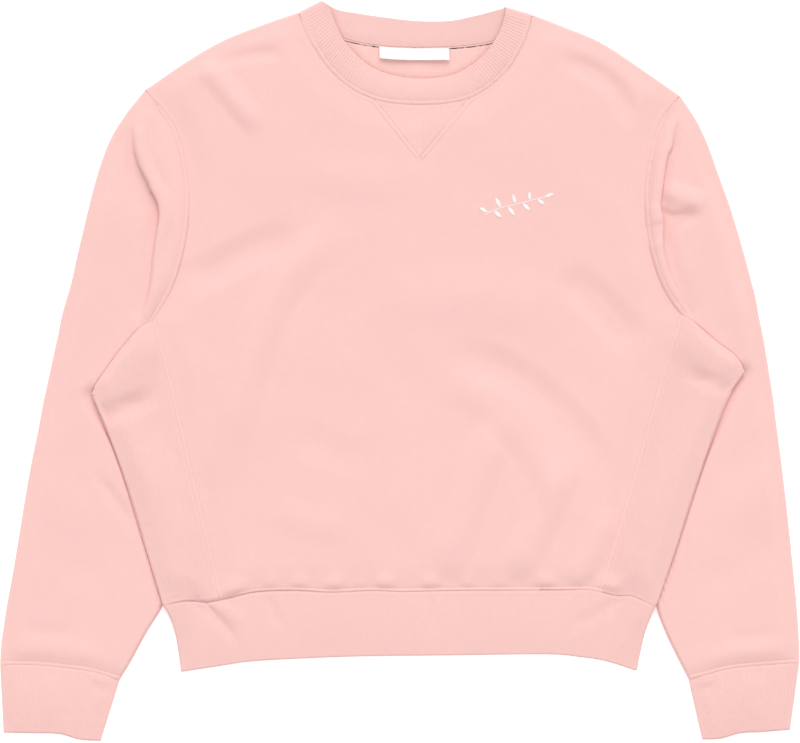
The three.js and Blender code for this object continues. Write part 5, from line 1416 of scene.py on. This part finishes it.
def build_sprig():
    """A small leaf sprig in satin stitch on the chest."""
    half = mm(settings().wall) / 2
    grids = [thread_tube(smooth(STEM, 6), lambda x, y: body_high(x, y) + half, 2.2, 0.5)]
    for x0, y0, angle, long, wide in LEAVES:
        a = math.radians(angle)
        along = np.array([math.cos(a), math.sin(a)])
        side = np.array([-along[1], along[0]])
        rows = []
        columns = round(long / 0.4) * 3
        t = np.linspace(0.02, 0.98, columns + 1)
        w = wide / 2 * np.sin(math.pi * t) ** 0.8
        thread = 0.12 * np.abs(np.cos(math.pi * t * columns / 3))
        for v in np.linspace(-1, 1, 7):
            p = np.array([x0, y0]) + along * (t * long)[:, None] + side * (w * v)[:, None]
            crown = (1 - v * v) ** 0.5 * 0.7 + thread - 0.1
            rows.append(np.concatenate([p, (body_high(p[:, 0], p[:, 1]) + half + crown)[:, None]], -1))
        grids.append((np.array(rows), "run"))
    obj = shell("chest_sprig", grids, 0.2)
    finish_piece(obj, thread_material("Sprig thread", settings().sprig_colour), None)
    return obj


# Stage
def build_stage():
    """Pale floor, soft studio light and a camera straight above."""
    scene = bpy.context.scene
    bm = bmesh.new()
    bmesh.ops.create_grid(bm, x_segments=1, y_segments=1, size=6)
    mesh = bpy.data.meshes.new("floor")
    bm.to_mesh(mesh)
    bm.free()
    floor = bpy.data.objects.new("floor", mesh)
    scene.collection.objects.link(floor)
    mat = bpy.data.materials.new("Floor")
    mat.use_nodes = True
    mat.node_tree.nodes["Principled BSDF"].inputs["Base Color"].default_value = (1, 1, 1, 1)
    mat.node_tree.nodes["Principled BSDF"].inputs["Emission Color"].default_value = (1, 1, 1, 1)
    mat.node_tree.nodes["Principled BSDF"].inputs["Emission Strength"].default_value = 0.3
    mat.node_tree.nodes["Principled BSDF"].inputs["Roughness"].default_value = 1.0
    mat.node_tree.nodes["Principled BSDF"].inputs["Specular IOR Level"].default_value = 0.0
    mesh.materials.append(mat)
    world = bpy.data.worlds.new("Studio")
    world.use_nodes = True
    world.node_tree.nodes["Background"].inputs["Color"].default_value = (1, 1, 1, 1)
    world.node_tree.nodes["Background"].inputs["Strength"].default_value = settings().ambient
    scene.world = world
    objs = [floor]
    for name, place, spread, power in (("key", (0.3, 2.4, 2.0), 40, 1.45), ("fill", (-0.4, -1.2, 2.6), 80, 0.3)):
        light = bpy.data.lights.new(name, "SUN")
        light.angle = math.radians(spread)
        light.energy = power * settings().light
        lamp = bpy.data.objects.new(name, light)
        lamp.location = place
        lamp.rotation_euler = (-Vector(place)).to_track_quat("-Z", "Y").to_euler()
        scene.collection.objects.link(lamp)
        objs.append(lamp)
    cam = bpy.data.cameras.new("camera")
    cam.sensor_width = 36
    far = 6.0
    cam.lens = 36 * far / 0.736
    cam.clip_end = 50
    eye = bpy.data.objects.new("camera", cam)
    middle = to_row_frame(np.array([[0.0, 0.0, 0.0]]))[0]
    eye.location = (middle[0], middle[1], far)
    scene.collection.objects.link(eye)
    scene.camera = eye
    objs.append(eye)
    scene.view_settings.view_transform = "Standard"
    scene.view_settings.look = "None"
    return objs


# Settings, operators and panel
def colour_property(name, text, value):
    return bpy.props.FloatVectorProperty(name=name, description=text, subtype="COLOR", size=4, min=0, max=1,
                                         default=value)


def length_property(name, text, value, low, high):
    return bpy.props.FloatProperty(name=name, description=text, default=value, min=low, max=high, precision=5,
                                   subtype="DISTANCE", unit="LENGTH")


class SweatshirtSettings(bpy.types.PropertyGroup):
    wall: length_property("Wall", "Thickness of the cloth", 0.0018, 0.001, 0.0022)
    rib: length_property("Rib depth", "How far the ribs stand up", 0.00055, 0.0001, 0.0009)
    crease: bpy.props.FloatProperty(name="Creases", description="Strength of the creases", default=1.0, min=0,
                                    max=1.5, subtype="FACTOR")
    stitch_length: length_property("Stitch length", "Length of a seam stitch", 0.0026, 0.0015, 0.005)
    stitch_gap: length_property("Stitch gap", "Distance between the two rows of stitches", 0.0037, 0.002, 0.008)
    pucker: length_property("Puckers", "Height of the puckers along the seams", 0.00016, 0, 0.0006)
    light: bpy.props.FloatProperty(name="Light", description="Strength of the studio lamps", default=1.0, min=0,
                                   max=5)
    ambient: bpy.props.FloatProperty(name="Ambient", description="Strength of the surrounding light", default=0.75,
                                     min=0, max=3)
    face_colour: colour_property("Face colour", "Colour of the smooth outer face", (0.905, 0.565, 0.53, 1))
    # The loopback's own tone, painted lighter to offset the shade in the neck opening where this face shows.
    inside_colour: colour_property("Inside colour", "Colour of the looped inner face", (0.92, 0.575, 0.525, 1))
    rib_colour: colour_property("Rib colour", "Colour of the ribbed pieces", (0.905, 0.565, 0.53, 1))
    label_colour: colour_property("Label colour", "Colour of the neck label", (0.93, 0.92, 0.91, 1))
    thread_colour: colour_property("Thread colour", "Colour of the seam stitches", (0.93, 0.60, 0.565, 1))
    sprig_colour: colour_property("Sprig colour", "Colour of the chest sprig", (0.95, 0.86, 0.83, 1))


class SWEATSHIRT_OT_back(bpy.types.Operator):
    """Build the back panel"""

    bl_idname = "sweatshirt.back"
    bl_label = "Back Panel"

    def execute(self, context):
        build_back()
        return {"FINISHED"}


class SWEATSHIRT_OT_sleeves(bpy.types.Operator):
    """Build both sleeves"""

    bl_idname = "sweatshirt.sleeves"
    bl_label = "Sleeves"

    def execute(self, context):
        build_sleeves()
        return {"FINISHED"}


class SWEATSHIRT_OT_front(bpy.types.Operator):
    """Build the front panel"""

    bl_idname = "sweatshirt.front"
    bl_label = "Front Panel"

    def execute(self, context):
        build_front()
        return {"FINISHED"}


class SWEATSHIRT_OT_sides(bpy.types.Operator):
    """Build both ribbed side panels"""

    bl_idname = "sweatshirt.sides"
    bl_label = "Side Panels"

    def execute(self, context):
        build_sides()
        return {"FINISHED"}


class SWEATSHIRT_OT_hem(bpy.types.Operator):
    """Build the hem band"""

    bl_idname = "sweatshirt.hem"
    bl_label = "Hem Band"

    def execute(self, context):
        build_hem()
        return {"FINISHED"}


class SWEATSHIRT_OT_cuffs(bpy.types.Operator):
    """Build both cuffs"""

    bl_idname = "sweatshirt.cuffs"
    bl_label = "Cuffs"

    def execute(self, context):
        build_cuffs()
        return {"FINISHED"}


class SWEATSHIRT_OT_neck(bpy.types.Operator):
    """Build the collar band, the neck insert and the label"""

    bl_idname = "sweatshirt.neck"
    bl_label = "Neck"

    def execute(self, context):
        build_collar()
        build_insert()
        build_label()
        return {"FINISHED"}


class SWEATSHIRT_OT_stitching(bpy.types.Operator):
    """Sew the seams' double stitches and the chest sprig"""

    bl_idname = "sweatshirt.stitching"
    bl_label = "Stitching"

    def execute(self, context):
        build_stitching()
        build_sprig()
        return {"FINISHED"}


class SWEATSHIRT_OT_stage(bpy.types.Operator):
    """Set up the floor, the lights and the camera"""

    bl_idname = "sweatshirt.stage"
    bl_label = "Stage"

    def execute(self, context):
        build_stage()
        return {"FINISHED"}


OPERATORS = (
    SWEATSHIRT_OT_back,
    SWEATSHIRT_OT_sleeves,
    SWEATSHIRT_OT_front,
    SWEATSHIRT_OT_sides,
    SWEATSHIRT_OT_hem,
    SWEATSHIRT_OT_cuffs,
    SWEATSHIRT_OT_neck,
    SWEATSHIRT_OT_stitching,
    SWEATSHIRT_OT_stage,
)


class SWEATSHIRT_PT_panel(bpy.types.Panel):
    bl_label = "Sweatshirt"
    bl_idname = "SWEATSHIRT_PT_panel"
    bl_space_type = "VIEW_3D"
    bl_region_type = "UI"
    bl_category = "Sweatshirt"

    def draw(self, context):
        layout = self.layout
        settings = context.scene.sweatshirt
        for key in SweatshirtSettings.__annotations__:
            layout.prop(settings, key)
        for operator in OPERATORS:
            layout.operator(operator.bl_idname)


CLASSES = (SweatshirtSettings, *OPERATORS, SWEATSHIRT_PT_panel)


def register():
    for cls in CLASSES:
        bpy.utils.register_class(cls)
    bpy.types.Scene.sweatshirt = bpy.props.PointerProperty(type=SweatshirtSettings)


def unregister():
    del bpy.types.Scene.sweatshirt
    for cls in reversed(CLASSES):
        bpy.utils.unregister_class(cls)


def main():
    register()
    bpy.ops.sweatshirt.stage()
    bpy.ops.sweatshirt.back()
    bpy.ops.sweatshirt.sleeves()
    bpy.ops.sweatshirt.front()
    bpy.ops.sweatshirt.sides()
    bpy.ops.sweatshirt.hem()
    bpy.ops.sweatshirt.cuffs()
    bpy.ops.sweatshirt.neck()
    bpy.ops.sweatshirt.stitching()


if __name__ == "__main__":
    main()
